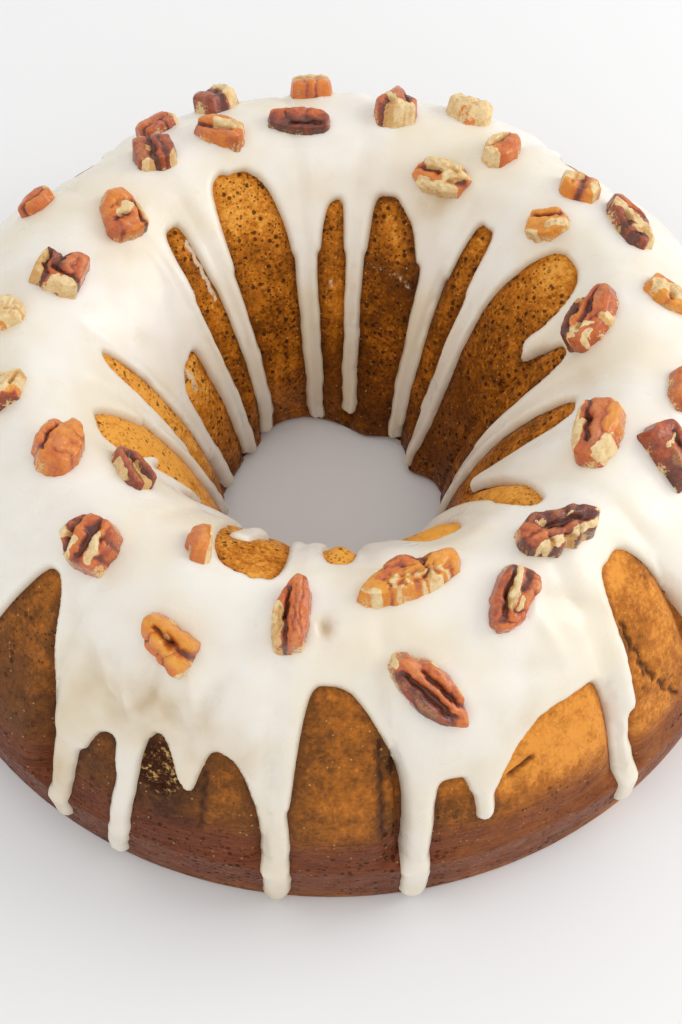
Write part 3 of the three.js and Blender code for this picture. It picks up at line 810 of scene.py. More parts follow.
@dataclass
class Crust:
    """The baked ring itself."""

    icing: "Icing"
    batter: Batter = SURFACE.batter
    finish: CrustFinish = CrustFinish()
    columns: int = 240
    row_step: float = 3.2
    cells: tuple[float, ...] = (2.0, 1.1, 1.1)
    bare_margin: float = 1.0
    band_line: float = 33.0
    outer_toast: float = 0.36
    inner_toast_and_shade: float = 0.46
    scar_toast: float = 0.25
    edge_toast: float = 0.16
    edge_width: float = 1.3
    bump_height: float = 0.20
    ripple_height: float = 0.10
    settle: float = 0.15
    covered_drop: float = 1.2
    bare_rise: float = 0.7
    scars: tuple[Scar, ...] = (Scar(248.6, 47.5, 3.2, 7.5, 1.3),)
    grain: Grain = field(default_factory=lambda: Grain(11))

    SEAM_TURN = 20
    SEAM_REACH = 50
    SEAM_WANDER = 0.3
    SEAM_PACE = 1.4

    def build(self) -> bpy.types.Object:
        """The ring with its fine relief, replacing the solid one."""
        outer_end = SURFACE.outer_length - self.batter.foot_chamfer
        inner_end = -SURFACE.inner_length + self.batter.foot_chamfer
        reaches = evenly(outer_end, inner_end, self.row_step)
        feet = (self.batter.hole_radius + self.batter.foot_chamfer,
                self.batter.base_radius - self.batter.foot_chamfer)
        ring = RingMesh.spin(reaches, feet, self.columns)
        for cell in self.cells:
            ring.refine(self._is_bare, cell)
        azimuth, reach, under = ring.columns()
        marks = self._marks(azimuth, reach)
        skin = SURFACE.place(azimuth, reach, self._relief(azimuth, reach))
        radius = np.where(reach > 0, feet[1], feet[0] + SURFACE.hole_shift(azimuth, reach, 0 * reach))
        base = ring_points(radius, azimuth, 0 * radius)
        ring.move(lerp(skin, base, under[:, None]))
        bmesh.ops.recalc_face_normals(ring.bm, faces=ring.bm.faces[:])
        piece = as_object("crust", ring.bm, marks)
        piece.data.materials.append(self.finish.material())
        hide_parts("cake")
        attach(piece, BODY)
        return piece

    def _is_bare(self, azimuth: Array, reach: Array) -> Array:
        """Where the icing leaves the crust bare, with a little margin."""
        return self.icing.depth_inside(azimuth, reach) < self.bare_margin

    def _scar(self, azimuth: Array, reach: Array) -> tuple[Array, Array]:
        """Share of torn crust, and how deep it is."""
        share, depth = np.zeros(len(reach)), np.zeros(len(reach))
        height = SURFACE.height(reach)
        for scar in self.scars:
            patch = bell(turn(azimuth, scar.azimuth), scar.half_width)
            patch = patch * bell(height - scar.height, scar.half_height) * (np.sign(reach) == scar.wall)
            share = np.maximum(share, smoothstep(patch, 0.25, 0.6))
            depth = np.maximum(depth, scar.depth * patch)
        return share, depth

    def _seams(self, azimuth: Array, reach: Array) -> tuple[Array, Array, Array]:
        """Height of the seams, how much darker they are, and how much icing is smeared there."""
        rise, dark, smear = (np.zeros(len(reach)) for _ in range(3))
        for seam in SEAMS:
            start, end = (float(SURFACE.reach_of(h, seam.wall)) for h in (seam.top[1], seam.bottom[1]))
            radius = float(SURFACE.radius((start + end) / 2))
            away = turn(azimuth, seam.top[0])
            near = (np.abs(away) < self.SEAM_TURN) & (np.abs(reach - start) < self.SEAM_REACH)
            wander = self.SEAM_WANDER * np.sin(reach[near] * self.SEAM_PACE)
            side = math.radians(turn(seam.bottom[0], seam.top[0])) * radius
            points = np.stack([np.radians(away[near]) * radius + wander, reach[near]], axis=1)
            share = bell(line_distance(points, np.array([0.0, start]), np.array([side, end])), seam.width)
            rise[near] += seam.rise * share
            dark[near] += seam.dark * share
            smear[near] = np.maximum(smear[near], seam.smear * share)
        return rise, dark, smear

    def _marks(self, azimuth: Array, reach: Array) -> dict[str, Array]:
        """What the finish reads from the mesh: how dark, porous, torn and streaked the crust is; its
        darkness holds painted light and painted shade besides its baking.
        """
        height = SURFACE.height(reach)
        place = SURFACE.place(azimuth, reach)
        drift = self.grain.layered(place, 30, 3)
        line = self.band_line + 2.0 * self.grain.layered(place * (1, 1, 0), 26, 3)
        below = 1 - smoothstep(height, line - 4.0, line + 5.0)
        foot = 1 - smoothstep(height, 2.0, 8.0)
        outside = reach > 0
        side = np.where(outside, 1, -1)
        # Paler and darker places by region: baking, painted light and painted shade.
        bake_and_light = sum(
            b.strength * bell(turn(azimuth, b.azimuth), b.half_width)
            * bell(height - b.height, b.half_height) * (b.wall == side)
            for b in BAKE_AND_LIGHT
        )
        outer = self.outer_toast + 0.16 * drift + 0.12 * smoothstep(70 - height, 0, 36)
        # On the hole's wall the base darkness is raised as painted shade, and it grows towards the foot.
        inner = self.inner_toast_and_shade + 0.12 * drift + 0.22 * (1 - smoothstep(height, 6, 50))
        scar, _ = self._scar(azimuth, reach)
        edge = bell(self.icing.depth_inside(azimuth, reach), self.edge_width)
        _, seam, smear = self._seams(azimuth, reach)
        # Darkness of the crust: baking, painted light and shade by region, torn patches, the icing's edge
        # and the painted shade of cracks.
        toast_and_shade = np.where(outside, outer, inner) + bake_and_light
        toast_and_shade = toast_and_shade + self.scar_toast * scar + self.edge_toast * edge + seam
        band = below * np.clip(0.85 + 0.8 * bake_and_light - 0.45 * foot + 0.3 * drift, 0, 1)
        outer_pores = 0.22 + 0.35 * drift + 0.12 * below + 0.5 * bake_and_light
        inner_pores = 0.66 - 0.3 * smoothstep(drift, 0.1, 0.5) + 0.55 * bake_and_light
        return {
            "toast_and_shade": np.clip(toast_and_shade, 0, 1),
            "band": np.where(outside, band, 0.0),
            "pores": np.where(outside, outer_pores, inner_pores).clip(0, 1),
            "scar": scar,
            "smear": smear,
            "streak": np.where(outside, 0.15 + 0.85 * below, 0.2),
            "inside": 1.0 - outside,
        }

    def _relief(self, azimuth: Array, reach: Array) -> Array:
        """Height of the fine relief over the smooth skin."""
        place = SURFACE.place(azimuth, reach)
        bumps = self.bump_height * self.grain.layered(place, 9, 3)
        bumps = bumps + self.ripple_height * self.grain.at(place, 2.2)
        _, depth = self._scar(azimuth, reach)
        crags = depth * (0.65 + 0.7 * self.grain.layered(place, 3.2, 2))
        foot = smoothstep(SURFACE.height(reach), 0.5, 4.0)
        inside = self.icing.depth_inside(azimuth, reach)
        covered = self.covered_drop * smoothstep(inside, 0.8, 3.0)
        bare = self.bare_rise * (smoothstep(-inside, 0.0, 3.5) * smoothstep(-reach, 12, 24))
        bulge = sum(
            b.rise * bell(turn(azimuth, b.azimuth), b.half_width) * bell(reach - b.reach, b.half_length)
            for b in BULGES
        )
        seam, _, _ = self._seams(azimuth, reach)
        return (bumps - self.settle + seam) * foot - crags - covered + (bare + bulge) * foot


# ---------------------------------------------------------------- the icing

@dataclass(frozen=True)
class Arch:
    """Where the icing's hem rises over a flute and leaves it bare."""

    crown: float
    top: float
    before: float
    after: float
    foot: float = 44.0
    curve_before: float = 2.2
    curve_after: float = 2.2

    def height(self, azimuth: Array) -> Array:
        """Height of the arch over each azimuth, nothing outside it."""
        away = turn(azimuth, self.crown)
        share = np.where(away < 0, -away / self.before, away / self.after)
        curve = np.where(away < 0, self.curve_before, self.curve_after)
        height = lerp(self.top, self.foot, np.minimum(share, 1) ** curve)
        return np.where(share < 1, height, -np.inf)


@dataclass(frozen=True)
class Apron:
    """Where the hole's hem hangs lower than elsewhere."""

    azimuth: float
    half_width: float
    height: float


@dataclass(frozen=True)
class Run:
    """A run of icing down a wall, through places evenly spaced from its top to its tip."""

    top: float
    tip: float
    azimuths: tuple[float, ...]
    widths: tuple[float, ...]
    bead: float = 0.5


@dataclass(frozen=True)
class Dent:
    """A shallow dimple or ridge in the icing, long along its heading; its veil shows the crust through thin
    icing and, on the broad veils at the left, also paints shade.
    """

    azimuth: float
    reach: float
    heading: float
    length: float
    width: float
    depth: float
    veil_and_shade: float = 0.0


OUTER_ARCHES = (
    Arch(224.5, 73.0, 6.0, 8.8, 40, 1.8, 2.7),
    Arch(242.0, 52.0, 4.9, 1.2, 25, 3.0, 5),
    Arch(248.3, 56.2, 3.6, 4.0, 44, 3.0, 1.2),
    Arch(255.2, 55.6, 2.8, 6.0, 40, 1.8, 2.6),
    Arch(268.2, 70.3, 3.6, 11.1, 42, 2.8, 3.2),
    Arch(284.2, 49.1, 3.2, 2.6, 36, 6, 6),
    Arch(301.3, 57.4, 13.2, 6.2, 38, 2.8, 7),
    Arch(317.5, 73.4, 7.4, 7.1, 38, 6.0, 2.7),
    Arch(338, 57, 11, 11),
    Arch(0, 66, 8, 8, 44, 2.6, 3.2),
    Arch(22, 56, 13, 12, 44, 2.4, 2.8),
    Arch(45, 72, 9, 8, 42, 3.2, 2.4),
    Arch(68, 54, 10, 12, 44, 2.4, 3),
    Arch(90, 64, 7.5, 7, 42, 2.6, 2.2),
    Arch(112, 55, 12, 11, 44, 2.8, 2.4),
    Arch(135, 72, 8.5, 9, 42, 2.6, 3.4),
    Arch(158, 57, 12, 11, 44, 2.4, 2.8),
    Arch(180, 65, 8, 7.5, 42, 3, 2.4),
    Arch(203, 58, 11, 10, 44, 2.4, 2.8),
)

INNER_APRONS = (Apron(156, 13, 41), Apron(218, 12, 34), Apron(329, 9, 45))

INNER_ARCHES = (
    Arch(25.0, 75.4, 14.5, 9.8, 57, 4.0, 2.6),
    Arch(2.5, 69.2, 6.0, 7.6, 57, 2.2, 3.2),
    Arch(47.6, 70.4, 5.4, 3.4, 50, 5, 4.5),
    Arch(75.5, 68.9, 17.8, 4.0, 44, 2.3, 6),
    Arch(88.3, 67.6, 3.1, 6.8, 45, 4, 2.7),
    Arch(114.0, 74.7, 12.8, 8.6, 50, 3.6, 6),
    Arch(132.7, 70.8, 2.5, 5.8, 50, 3, 6),
    Arch(151.5, 47.0, 6.5, 14.0, 41, 4, 2.5),
    Arch(176.8, 68.4, 3.3, 10.6, 40, 4, 1.6),
    Arch(198.5, 70.2, 7.6, 16.5, 36, 5, 3.4),
    Arch(222, 58, 7, 7),
    Arch(256.8, 76.9, 19.5, 5.4, 50, 4.0, 5.0),
    Arch(271.6, 72.6, 5.6, 5.8, 50, 3.2, 3.2),
    Arch(297.0, 69.8, 10.5, 10.0, 46, 3.6, 3.2),
    Arch(316.0, 75.6, 5.2, 11.0, 46, 4, 1.8),
    Arch(344.5, 71.3, 14.0, 4.4, 44, 2.0, 6),
)

OUTER_RUNS = (
    Run(56, 9, (7.5, 7.2, 7.5), (7, 6, 5.6)),
    Run(56, 4, (37.5, 38, 38), (7, 6.2, 5.6)),
    Run(56, 3, (82, 82.4, 82), (7.5, 6.4, 6)),
    Run(56, 5, (127, 127, 127.5), (7.5, 6.4, 5.8)),
    Run(56, 26, (143, 142.5), (7, 5.4)),
    Run(56, 7, (172.5, 172.4, 172), (7, 6, 5.6)),
    Run(58, 4, (216, 216.8, 217), (8, 6.6, 6)),
    Run(54, 9.0, (236.2, 235.7, 235.3, 234.9), (9.8, 8.2, 6.9, 5.2), 0.1),
    Run(56, 3.6, (244.8, 244.6, 243.9, 242.6), (6.2, 5.6, 5.9, 5.8), 0.3),
    Run(56, 46.0, (252.1, 252.0), (7.0, 3.4), 0.1),
    Run(58, 1.8, (261.9, 262.4, 263.0, 263.1, 263.0), (10.0, 7.8, 7.6, 7.2, 6.8), 0.7),
    Run(56, 1.8, (281.1, 280.2, 279.6, 279.4, 279.6), (9.6, 7.6, 7.2, 7.3, 7.0), 0.7),
    Run(52, 35.0, (288.6, 288.1, 287.8), (6.6, 5.2, 4.6)),
    Run(60, 7.0, (309.2, 308.2, 307.6, 307.6, 308.2), (7.0, 5.4, 5.4, 6.4, 6.0), 0.2),
    Run(60, 10, (326, 325.8, 326), (7.4, 6.4, 6)),
    Run(56, 18, (351, 351.2, 351.5), (7, 6, 5.4)),
)

INNER_RUNS = (
    Run(66, 2.2, (38.9, 37.8, 36.6, 36.4, 35.6), (7.6, 6.4, 6.0, 5.6, 4.4)),
    Run(66, 2.2, (57.6, 55.8, 54.5, 54.2, 54.2), (9.6, 7.2, 6.2, 5.6, 4.4)),
    Run(64, 7.0, (82.6, 82.4, 82.0, 81.6), (5.6, 4.6, 4.2, 4.4)),
    Run(64, 1.2, (97.8, 98.8, 98.8, 98.6), (6.8, 5.8, 5.2, 4.2)),
    Run(66, 2.2, (126.6, 126.6, 126.4, 124.9), (7.6, 6.0, 4.8, 4.8)),
    Run(62, 2.2, (143.4, 144.3, 143.4, 140.8), (9.4, 7.0, 5.6, 5.0)),
    Run(62, 2.2, (166.4, 170.3, 170.3, 164.3), (11.8, 8.0, 5.8, 4.8)),
    Run(64, 2.2, (185.2, 188.4, 190.8, 184.5), (7.6, 6.0, 5.2, 4.0)),
    Run(64, 56.5, (210.0, 206.8), (5.0, 3.4), 0.9),
    Run(62, 30, (230, 230), (8, 6)),
    Run(66.5, 50, (247.2, 246.6), (6.4, 5.6)),
    Run(74, 2, (263.6, 263.2, 263, 263), (6.5, 10, 9, 7)),
    Run(62, 12, (281.5, 282, 283), (7, 6.5, 6.4)),
    Run(66, 3, (309.4, 310, 311), (8, 7, 6.4)),
    Run(58, 45, (329.0, 328.5), (7.0, 4.0)),
    Run(66, 2.2, (352.6, 352.2, 350.4, 348.2), (8.6, 7.4, 6.4, 5.6)),
    Run(72, 59.8, (8.5, 11.6), (9.5, 4.6), 0.4),
)

DENTS = (
    Dent(236.5, 29, 75, 8, 3.0, 2.4, 0.14),
    Dent(241, 34, 20, 7, 2.2, 2.4, 0.18),
    Dent(245.5, 28, 100, 8, 2.4, 2.6, 0.18),
    Dent(249.8, 33, 60, 6, 2.4, 2.5, 0.20),
    Dent(253.5, 28, 110, 7, 2.2, 1.6, 0.15),
    Dent(239, 25, 30, 8, 1.6, -1.5),
    Dent(243.4, 32, 70, 9, 1.4, -1.7),
    Dent(247.6, 36, 10, 8, 1.4, -1.4),
    Dent(251.5, 25, 70, 8, 1.6, -1.3),
    Dent(240, 29, 60, 7, 0.9, -0.9),
    Dent(245.5, 24, 100, 6, 0.9, -0.8),
    Dent(248.6, 31, 30, 7, 0.9, 0.9),
    Dent(243, 37, 10, 8, 0.9, 0.8),
    # These two broad veils darken the front left and the left of the icing: thin icing and painted shade.
    Dent(246, 33, 90, 9, 17, 0.3, 0.46),
    Dent(178, 10, 90, 14, 24, 0.0, 0.12),
    Dent(235.5, 66, 90, 22, 5, 0.0, 0.45),
    Dent(293, 34, 90, 7, 9, 0.2, 0.20),
    Dent(232, 22, 60, 9, 3, 0.8, 0.12),
    Dent(257, 36, 90, 9, 9, 0.3, 0.34),
    Dent(268.8, 6, 90, 2.2, 1.8, 1.8, 0.9),
    Dent(306, 15, 30, 6, 3, 1.3, 0.12),
    Dent(296, 24, 20, 7, 2.6, 0.9, 0.12),
    Dent(311, 24, 60, 6, 2.6, 1.3, 0.1),
    Dent(301, 19, 80, 8, 2.0, -0.6),
    Dent(262.8, 90, 90, 7, 8, 0.0, 0.35),
    Dent(97, 20, 90, 12, 1.6, -0.5),
    Dent(92, 18, 90, 10, 1.4, -0.4),
    Dent(88, 22, 90, 12, 1.6, 0.4),
    Dent(150, -14, 60, 12, 8, 0.3, 0.22),
    Dent(128, -14, 90, 10, 4, 0.3, 0.2),
    Dent(62, -17, 90, 9, 6, 0.5, 0.6),
    Dent(98, -16, 90, 10, 3, 0.2, 0.18),
    Dent(82, -16, 90, 9, 3, 0.2, 0.15),
    Dent(352, -14, 90, 10, 6, 0.2, 0.30),
    Dent(208, -16, 90, 9, 6, 0.2, 0.15),
)


@dataclass(frozen=True)
class IcingFinish:
    """Poured icing: warm white, satin, a little see-through where it is thin, and painted darker as shade
    deep in the hole and on the left.
    """

    white: Colour = (0.86, 0.82, 0.745)
    cream: Colour = (0.80, 0.70, 0.51)
    thin_and_shade: Colour = (0.60, 0.455, 0.265)
    cream_share: float = 0.62
    roughness: float = 0.30
    gloss_spread: float = 0.22
    specular: float = 0.5
    scatter: float = 0.22
    scatter_radius: tuple[float, float, float] = (1.0, 0.75, 0.5)
    scatter_scale: float = 0.0022

    def material(self) -> bpy.types.Material:
        """The material, read from the mark of thin icing and painted shade."""
        d = Dressing("icing")
        thin_and_shade = d.mark("thin_and_shade")
        cloud = d.noise(28, 3, 0.5)
        colour = d.mix(cloud.between(0.38, 0.68) * self.cream_share, self.white, self.cream)
        colour = d.mix(thin_and_shade, colour, self.thin_and_shade)
        roughness = (d.noise(11, 2, 0.5) - 0.5) * self.gloss_spread + self.roughness
        normal = d.bump(((d.noise(6, 2, 0.5), 0.10), (d.noise(1.6, 2, 0.5), 0.012)))
        return d.finish(Base_Color=colour, Roughness=roughness.clipped(), Normal=normal,
                        Subsurface_Weight=self.scatter, Subsurface_Radius=self.scatter_radius,
                        Subsurface_Scale=self.scatter_scale, Specular_IOR_Level=self.specular)


@dataclass
class Icing:
    """The poured coat over the crest, its hems and its runs."""

    pecans: "Pecans"
    finish: IcingFinish = IcingFinish()
    columns: int = 240
    row_step: float = 3.2
    coat_cell: float = 2.2
    coat_margins: tuple[float, ...] = (3.0, 2.0)
    edge_cell: float = 1.05
    edge_margins: tuple[float, ...] = (2.4, 2.2)
    edge_middle: float = 0.7
    fold_cell: float = 1.1
    fold_width: float = 2.5
    outer_hem: float = 44.0
    inner_hem: float = 57.0
    fillet: float = 2.2
    thickness: float = 2.7
    edge_thickness: float = 1.7
    edge_roll: float = 3.0
    swell_height: float = 0.30
    ripple_height: float = 0.13
    slow_wobble: float = 0.25
    slow_pace: float = 0.31
    quick_wobble: float = 0.15
    quick_pace: float = 0.83
    bead_back: float = 0.7
    bead_stretch: float = 0.6
    bead_spread: float = 0.9
    hidden_drop: float = 1.4
    hidden_width: float = 0.8
    underside: float = 1.9
    end_gap: float = 0.6
    flute_share: float = 0.45
    steep_veil: float = 0.17
    hole_veil_and_shade: float = 0.20
    cloud_veil: float = 0.10
    edge_veil: float = 0.55
    edge_veil_width: float = 1.4
    hole_bridge: float = 0.8
    wall_bridge: float = 3.4
    grain: Grain = field(default_factory=lambda: Grain(5))

    HEM_STEP = 0.1
    HEM_RING = 60.0
    HEM_BLUR = 11
    HEM_WAVES = ((0.5, 5.0), (0.3, 2.0))
    RUN_TURN = 22
    SNAP_PROBE = 0.2
    SNAP_WIDTH = 0.42
    SNAP_END = 0.4
    LEAST_SLOPE = 0.4
    ON_LINE = 0.03
    GRID_TURN = 0.25
    GRID_REACH = 0.5
    DEEP = 14.0
    EASINGS = 26

    def __post_init__(self) -> None:
        """Works out the distance inside the icing's outline on a grid over the cake."""
        self._azimuths = np.arange(0, 360 + self.GRID_TURN / 2, self.GRID_TURN)
        end = SURFACE.outer_length + self.GRID_REACH
        self._reaches = np.arange(-SURFACE.inner_length, end, self.GRID_REACH)
        grids = np.meshgrid(self._azimuths, self._reaches, indexing="ij")
        azimuth, reach = (part.ravel() for part in grids)
        depth = np.empty(len(reach))
        self._runs = [(1, run) for run in OUTER_RUNS] + [(-1, run) for run in INNER_RUNS]
        for wall, hem, arches in ((1, self.outer_hem, OUTER_ARCHES), (-1, self.inner_hem, INNER_ARCHES)):
            chosen = reach >= 0 if wall > 0 else reach < 0
            line = self._hem_line(wall, hem, arches)
            depth[chosen] = self._wall_depth(azimuth[chosen], np.abs(reach[chosen]), wall, line)
        self._depths = self._eased(depth.reshape(len(self._azimuths), len(self._reaches)))

    def _eased(self, depths: Array) -> Array:
        """Rounds the creases of the distances, most of all well inside the outline."""
        depths = np.minimum(depths, self.DEEP)
        for step in range(self.EASINGS):
            wide = np.concatenate([depths[-2:-1], depths, depths[1:2]])
            around = (wide[:-2] + 2 * wide[1:-1] + wide[2:]) / 4
            tall = np.concatenate([around[:, :1], around, around[:, -1:]], axis=1)
            blurred = (tall[:, :-2] + 2 * tall[:, 1:-1] + tall[:, 2:]) / 4
            depths = blurred if step < 2 else lerp(depths, blurred, smoothstep(depths, 1.0, 4.0))
        return depths

    def _hem_line(self, wall: int, hem: float, arches: Sequence[Arch]) -> tuple[Array, Array]:
        """The hem of one wall.

        Args:
            wall: 1 for the outer wall, -1 for the hole's.
            hem: height of the hem where no arch lifts it.
            arches: what lifts it.

        Returns:
            Azimuths and reaches without their sign, close together.
        """
        grid = np.arange(0, 360 + self.HEM_STEP / 2, self.HEM_STEP)
        place = ring_points(self.HEM_RING, grid, 0 * grid + 10.0 * wall)
        height = np.full_like(grid, hem)
        for apron in INNER_APRONS if wall < 0 else ():
            away = np.abs(turn(grid, apron.azimuth)) / apron.half_width
            height = lerp(apron.height, height, smoothstep(away, 0.8, 1))
        for arch in arches:
            height = np.maximum(height, arch.height(grid))
        height += sum(rise * self.grain.at(place, cell) for rise, cell in self.HEM_WAVES)
        reach = np.abs(SURFACE.reach_of(height, wall))
        kernel = np.hanning(self.HEM_BLUR)
        wrapped = np.concatenate([reach[-self.HEM_BLUR:-1], reach, reach[1:self.HEM_BLUR]])
        smooth = np.convolve(wrapped, kernel / kernel.sum(), "same")
        return grid, smooth[self.HEM_BLUR - 1:1 - self.HEM_BLUR]

    def depth_inside(self, azimuth: Array, reach: Array) -> Array:
        """Distance inside the icing's outline, negative outside it.

        Args:
            azimuth: azimuths.
            reach: reaches.

        Returns:
            Distances over the surface.
        """
        column = (azimuth % 360) / self.GRID_TURN
        row = np.clip((reach + SURFACE.inner_length) / self.GRID_REACH, 0, len(self._reaches) - 1.001)
        i, j = column.astype(int) % (len(self._azimuths) - 1), row.astype(int)
        a, b = column % 1, row % 1
        grid = self._depths
        near, far = lerp(grid[i, j], grid[i + 1, j], a), lerp(grid[i, j + 1], grid[i + 1, j + 1], a)
        return lerp(near, far, b)

    def _wall_depth(self, azimuth: Array, reach: Array, wall: int, line: tuple[Array, Array]) -> Array:
        """The same for the places of one wall, from its hem and its runs.

        Args:
            azimuth: azimuths.
            reach: reaches without their sign.
            wall: 1 for the outer wall, -1 for the hole's.
            line: the wall's hem.

        Returns:
            Distances inside the outline.
        """
        hem = self._dense(*line, wall)
        tree = KDTree(len(hem))
        for index, place in enumerate(hem):
            tree.insert(place, index)
        tree.balance()
        radius = SURFACE.radius(wall * reach)
        places = ring_points(radius, azimuth, SURFACE.height(wall * reach))
        away = np.array([tree.find(place)[2] for place in places])
        depth = np.where(reach < np.interp(azimuth, *line), away, -away)
        for run_wall, run in self._runs:
            if run_wall != wall:
                continue
            near = np.abs(turn(azimuth, run.azimuths[0])) < self.RUN_TURN
            inside = self._run_depth(run, wall, azimuth[near], reach[near], radius[near])
            depth[near] = smooth_max(depth[near], inside, self.fillet)
        return depth

    def _dense(self, azimuths: Array, reaches: Array, wall: int) -> Array:
        """Places along a hem, no further apart than the grid's rows."""
        points = []
        steps = np.maximum(1, np.ceil(np.abs(np.diff(reaches)) / self.GRID_REACH).astype(int))
        for index, count in enumerate(steps):
            share = np.arange(count) / count
            azimuth = lerp(azimuths[index], azimuths[index + 1], share)
            reach = lerp(reaches[index], reaches[index + 1], share) * wall
            points.append(ring_points(SURFACE.radius(reach), azimuth, SURFACE.height(reach)))
        return np.concatenate(points)

    def _run_depth(self, run: Run, wall: int, azimuth: Array, reach: Array, radius: Array) -> Array:
        """Distance inside one run: a strip of changing width with a round tip."""
        start, end = (abs(float(SURFACE.reach_of(h, wall))) for h in (run.top, run.tip))
        stops = np.linspace(0, 1, len(run.azimuths))
        half_tip = run.widths[-1] / 2
        along = np.clip((reach - start) / (end - half_tip - start), 0, 1)
        middle = np.interp(along, stops, run.azimuths)
        half = np.interp(along, stops, run.widths) / 2
        wobble = self.slow_wobble * np.sin(reach * self.slow_pace + run.azimuths[0])
        wobble = wobble + self.quick_wobble * np.sin(reach * self.quick_pace)
        across = np.radians(turn(azimuth, middle)) * radius + wobble * along
        beyond = np.maximum(reach - (end - half_tip), 0) + np.maximum(start - reach, 0)
        return half - np.hypot(across, beyond)

    def bead(self, azimuth: Array, reach: Array) -> Array:
        """Extra thickness at the tips of the runs."""
        result = np.zeros(len(reach))
        for wall, run in self._runs:
            end = float(SURFACE.reach_of(run.tip, wall)) - wall * run.widths[-1] * self.bead_back
            across = np.radians(turn(azimuth, run.azimuths[-1])) * SURFACE.radius(reach)
            away = np.hypot(across, (reach - end) * self.bead_stretch)
            result = np.maximum(result, run.bead * bell(away, run.widths[-1] * self.bead_spread))
        return result

    def _place(self, azimuth: Array, reach: Array, depth: Array) -> Array:
        """Places of the upper face where the distance inside the outline is known."""
        ground = SURFACE.place(azimuth, reach)
        roll = np.clip(np.abs(depth) / self.edge_roll, 0, 1)
        rim = self.edge_thickness * np.sqrt(1 - (1 - roll) ** 2)
        inland = smoothstep(depth, 2.0, 10.0)
        swell = self.swell_height * self.grain.at(ground, 27) + self.ripple_height * self.grain.at(ground, 9)
        coat = rim + inland * (self.thickness - self.edge_thickness) + swell * smoothstep(depth, 1, 6)
        coat = coat + self.bead(azimuth, reach) * smoothstep(depth, 0, 2.5)
        coat = coat - self._dents(azimuth, reach) * inland + self.pecans.collar(azimuth, reach) * inland
        hidden = -self.hidden_drop * np.clip(-depth / self.hidden_width, 0, 1) ** 0.5
        lift = np.where(depth > 0, coat, hidden)
        bridged = np.where(reach < 0, self.hole_bridge, self.wall_bridge)
        share = lerp(1.0, self.flute_share, smoothstep(depth, -0.7, bridged))
        return SURFACE.place(azimuth, reach, lift, share)

    @staticmethod
    def _dents(azimuth: Array, reach: Array) -> Array:
        """Depth of the dimples in the coat."""
        return sum(dent.depth * Icing._dent_share(dent, azimuth, reach) for dent in DENTS)

    @staticmethod
    def _dent_share(dent: Dent, azimuth: Array, reach: Array) -> Array:
        """How much each place lies in a dent."""
        x = np.radians(turn(azimuth, dent.azimuth)) * SURFACE.radius(reach)
        y = reach - dent.reach
        heading = math.radians(dent.heading)
        along = x * math.cos(heading) + y * math.sin(heading)
        across = y * math.cos(heading) - x * math.sin(heading)
        return bell(np.hypot(along / dent.length, across / dent.width), 1.0)

    def build(self) -> bpy.types.Object:
        """The coat as one closed mesh that lies on the crust, replacing the solid one."""
        outer_end = SURFACE.outer_length - self.end_gap
        inner_end = self.end_gap - SURFACE.inner_length
        reaches = evenly(outer_end, inner_end, self.row_step)
        ring = RingMesh.spin(reaches, (), self.columns)
        for margin in self.coat_margins:
            ring.refine(lambda a, r, m=margin: self.depth_inside(a, r) > -m, self.coat_cell)
        ring.refine(self._is_folded, self.fold_cell)
        for margin in self.edge_margins:
            ring.refine(lambda a, r, m=margin: self._from_edge(a, r) < m, self.edge_cell)
        azimuth, reach, _ = ring.columns()
        azimuth, reach, depth = self._snapped(azimuth, reach)
        ring.move(self._place(azimuth, reach, depth))
        self._close(ring, azimuth, reach, depth)
        bmesh.ops.recalc_face_normals(ring.bm, faces=ring.bm.faces[:])
        thin_and_shade = self._thinness_and_shade(ring)
        piece = as_object("icing_coat", ring.bm, {"thin_and_shade": thin_and_shade})
        piece.data.materials.append(self.finish.material())
        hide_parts("icing")
        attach(piece, BODY)
        return piece

    def _from_edge(self, azimuth: Array, reach: Array) -> Array:
        """Distance from the middle of the rolled edge."""
        return np.abs(self.depth_inside(azimuth, reach) - self.edge_middle)

    def _is_folded(self, azimuth: Array, reach: Array) -> Array:
        """Where narrow dents and ridges want finer faces."""
        narrow = [dent for dent in DENTS if dent.width < self.fold_width]
        share = sum(self._dent_share(dent, azimuth, reach) for dent in narrow)
        return (share > 0.2) & (self.depth_inside(azimuth, reach) > 0)

    def _snapped(self, azimuth: Array, reach: Array) -> tuple[Array, Array, Array]:
        """Moves vertices near the outline onto it.

        Args:
            azimuth: azimuths of the vertices.
            reach: their reaches.

        Returns:
            New azimuths, reaches and distances inside the outline.
        """
        probe = self.SNAP_PROBE
        first, last = self.SNAP_END - SURFACE.inner_length, SURFACE.outer_length - self.SNAP_END
        for _ in range(2):
            depth = self.depth_inside(azimuth, reach)
            degree = np.degrees(1 / SURFACE.radius(reach))
            by_azimuth = (self.depth_inside(azimuth + probe * degree, reach) - depth) / probe
            by_reach = (self.depth_inside(azimuth, reach + probe) - depth) / probe
            steep = np.maximum(np.hypot(by_azimuth, by_reach), self.LEAST_SLOPE)
            near = np.abs(depth) < self.SNAP_WIDTH * steep
            step = np.where(near, -depth / steep ** 2, 0)
            azimuth = (azimuth + step * by_azimuth * degree) % 360
            reach = np.clip(reach + step * by_reach, first, last)
        depth = self.depth_inside(azimuth, reach)
        return azimuth, reach, np.where(np.abs(depth) < self.ON_LINE, 0, depth)

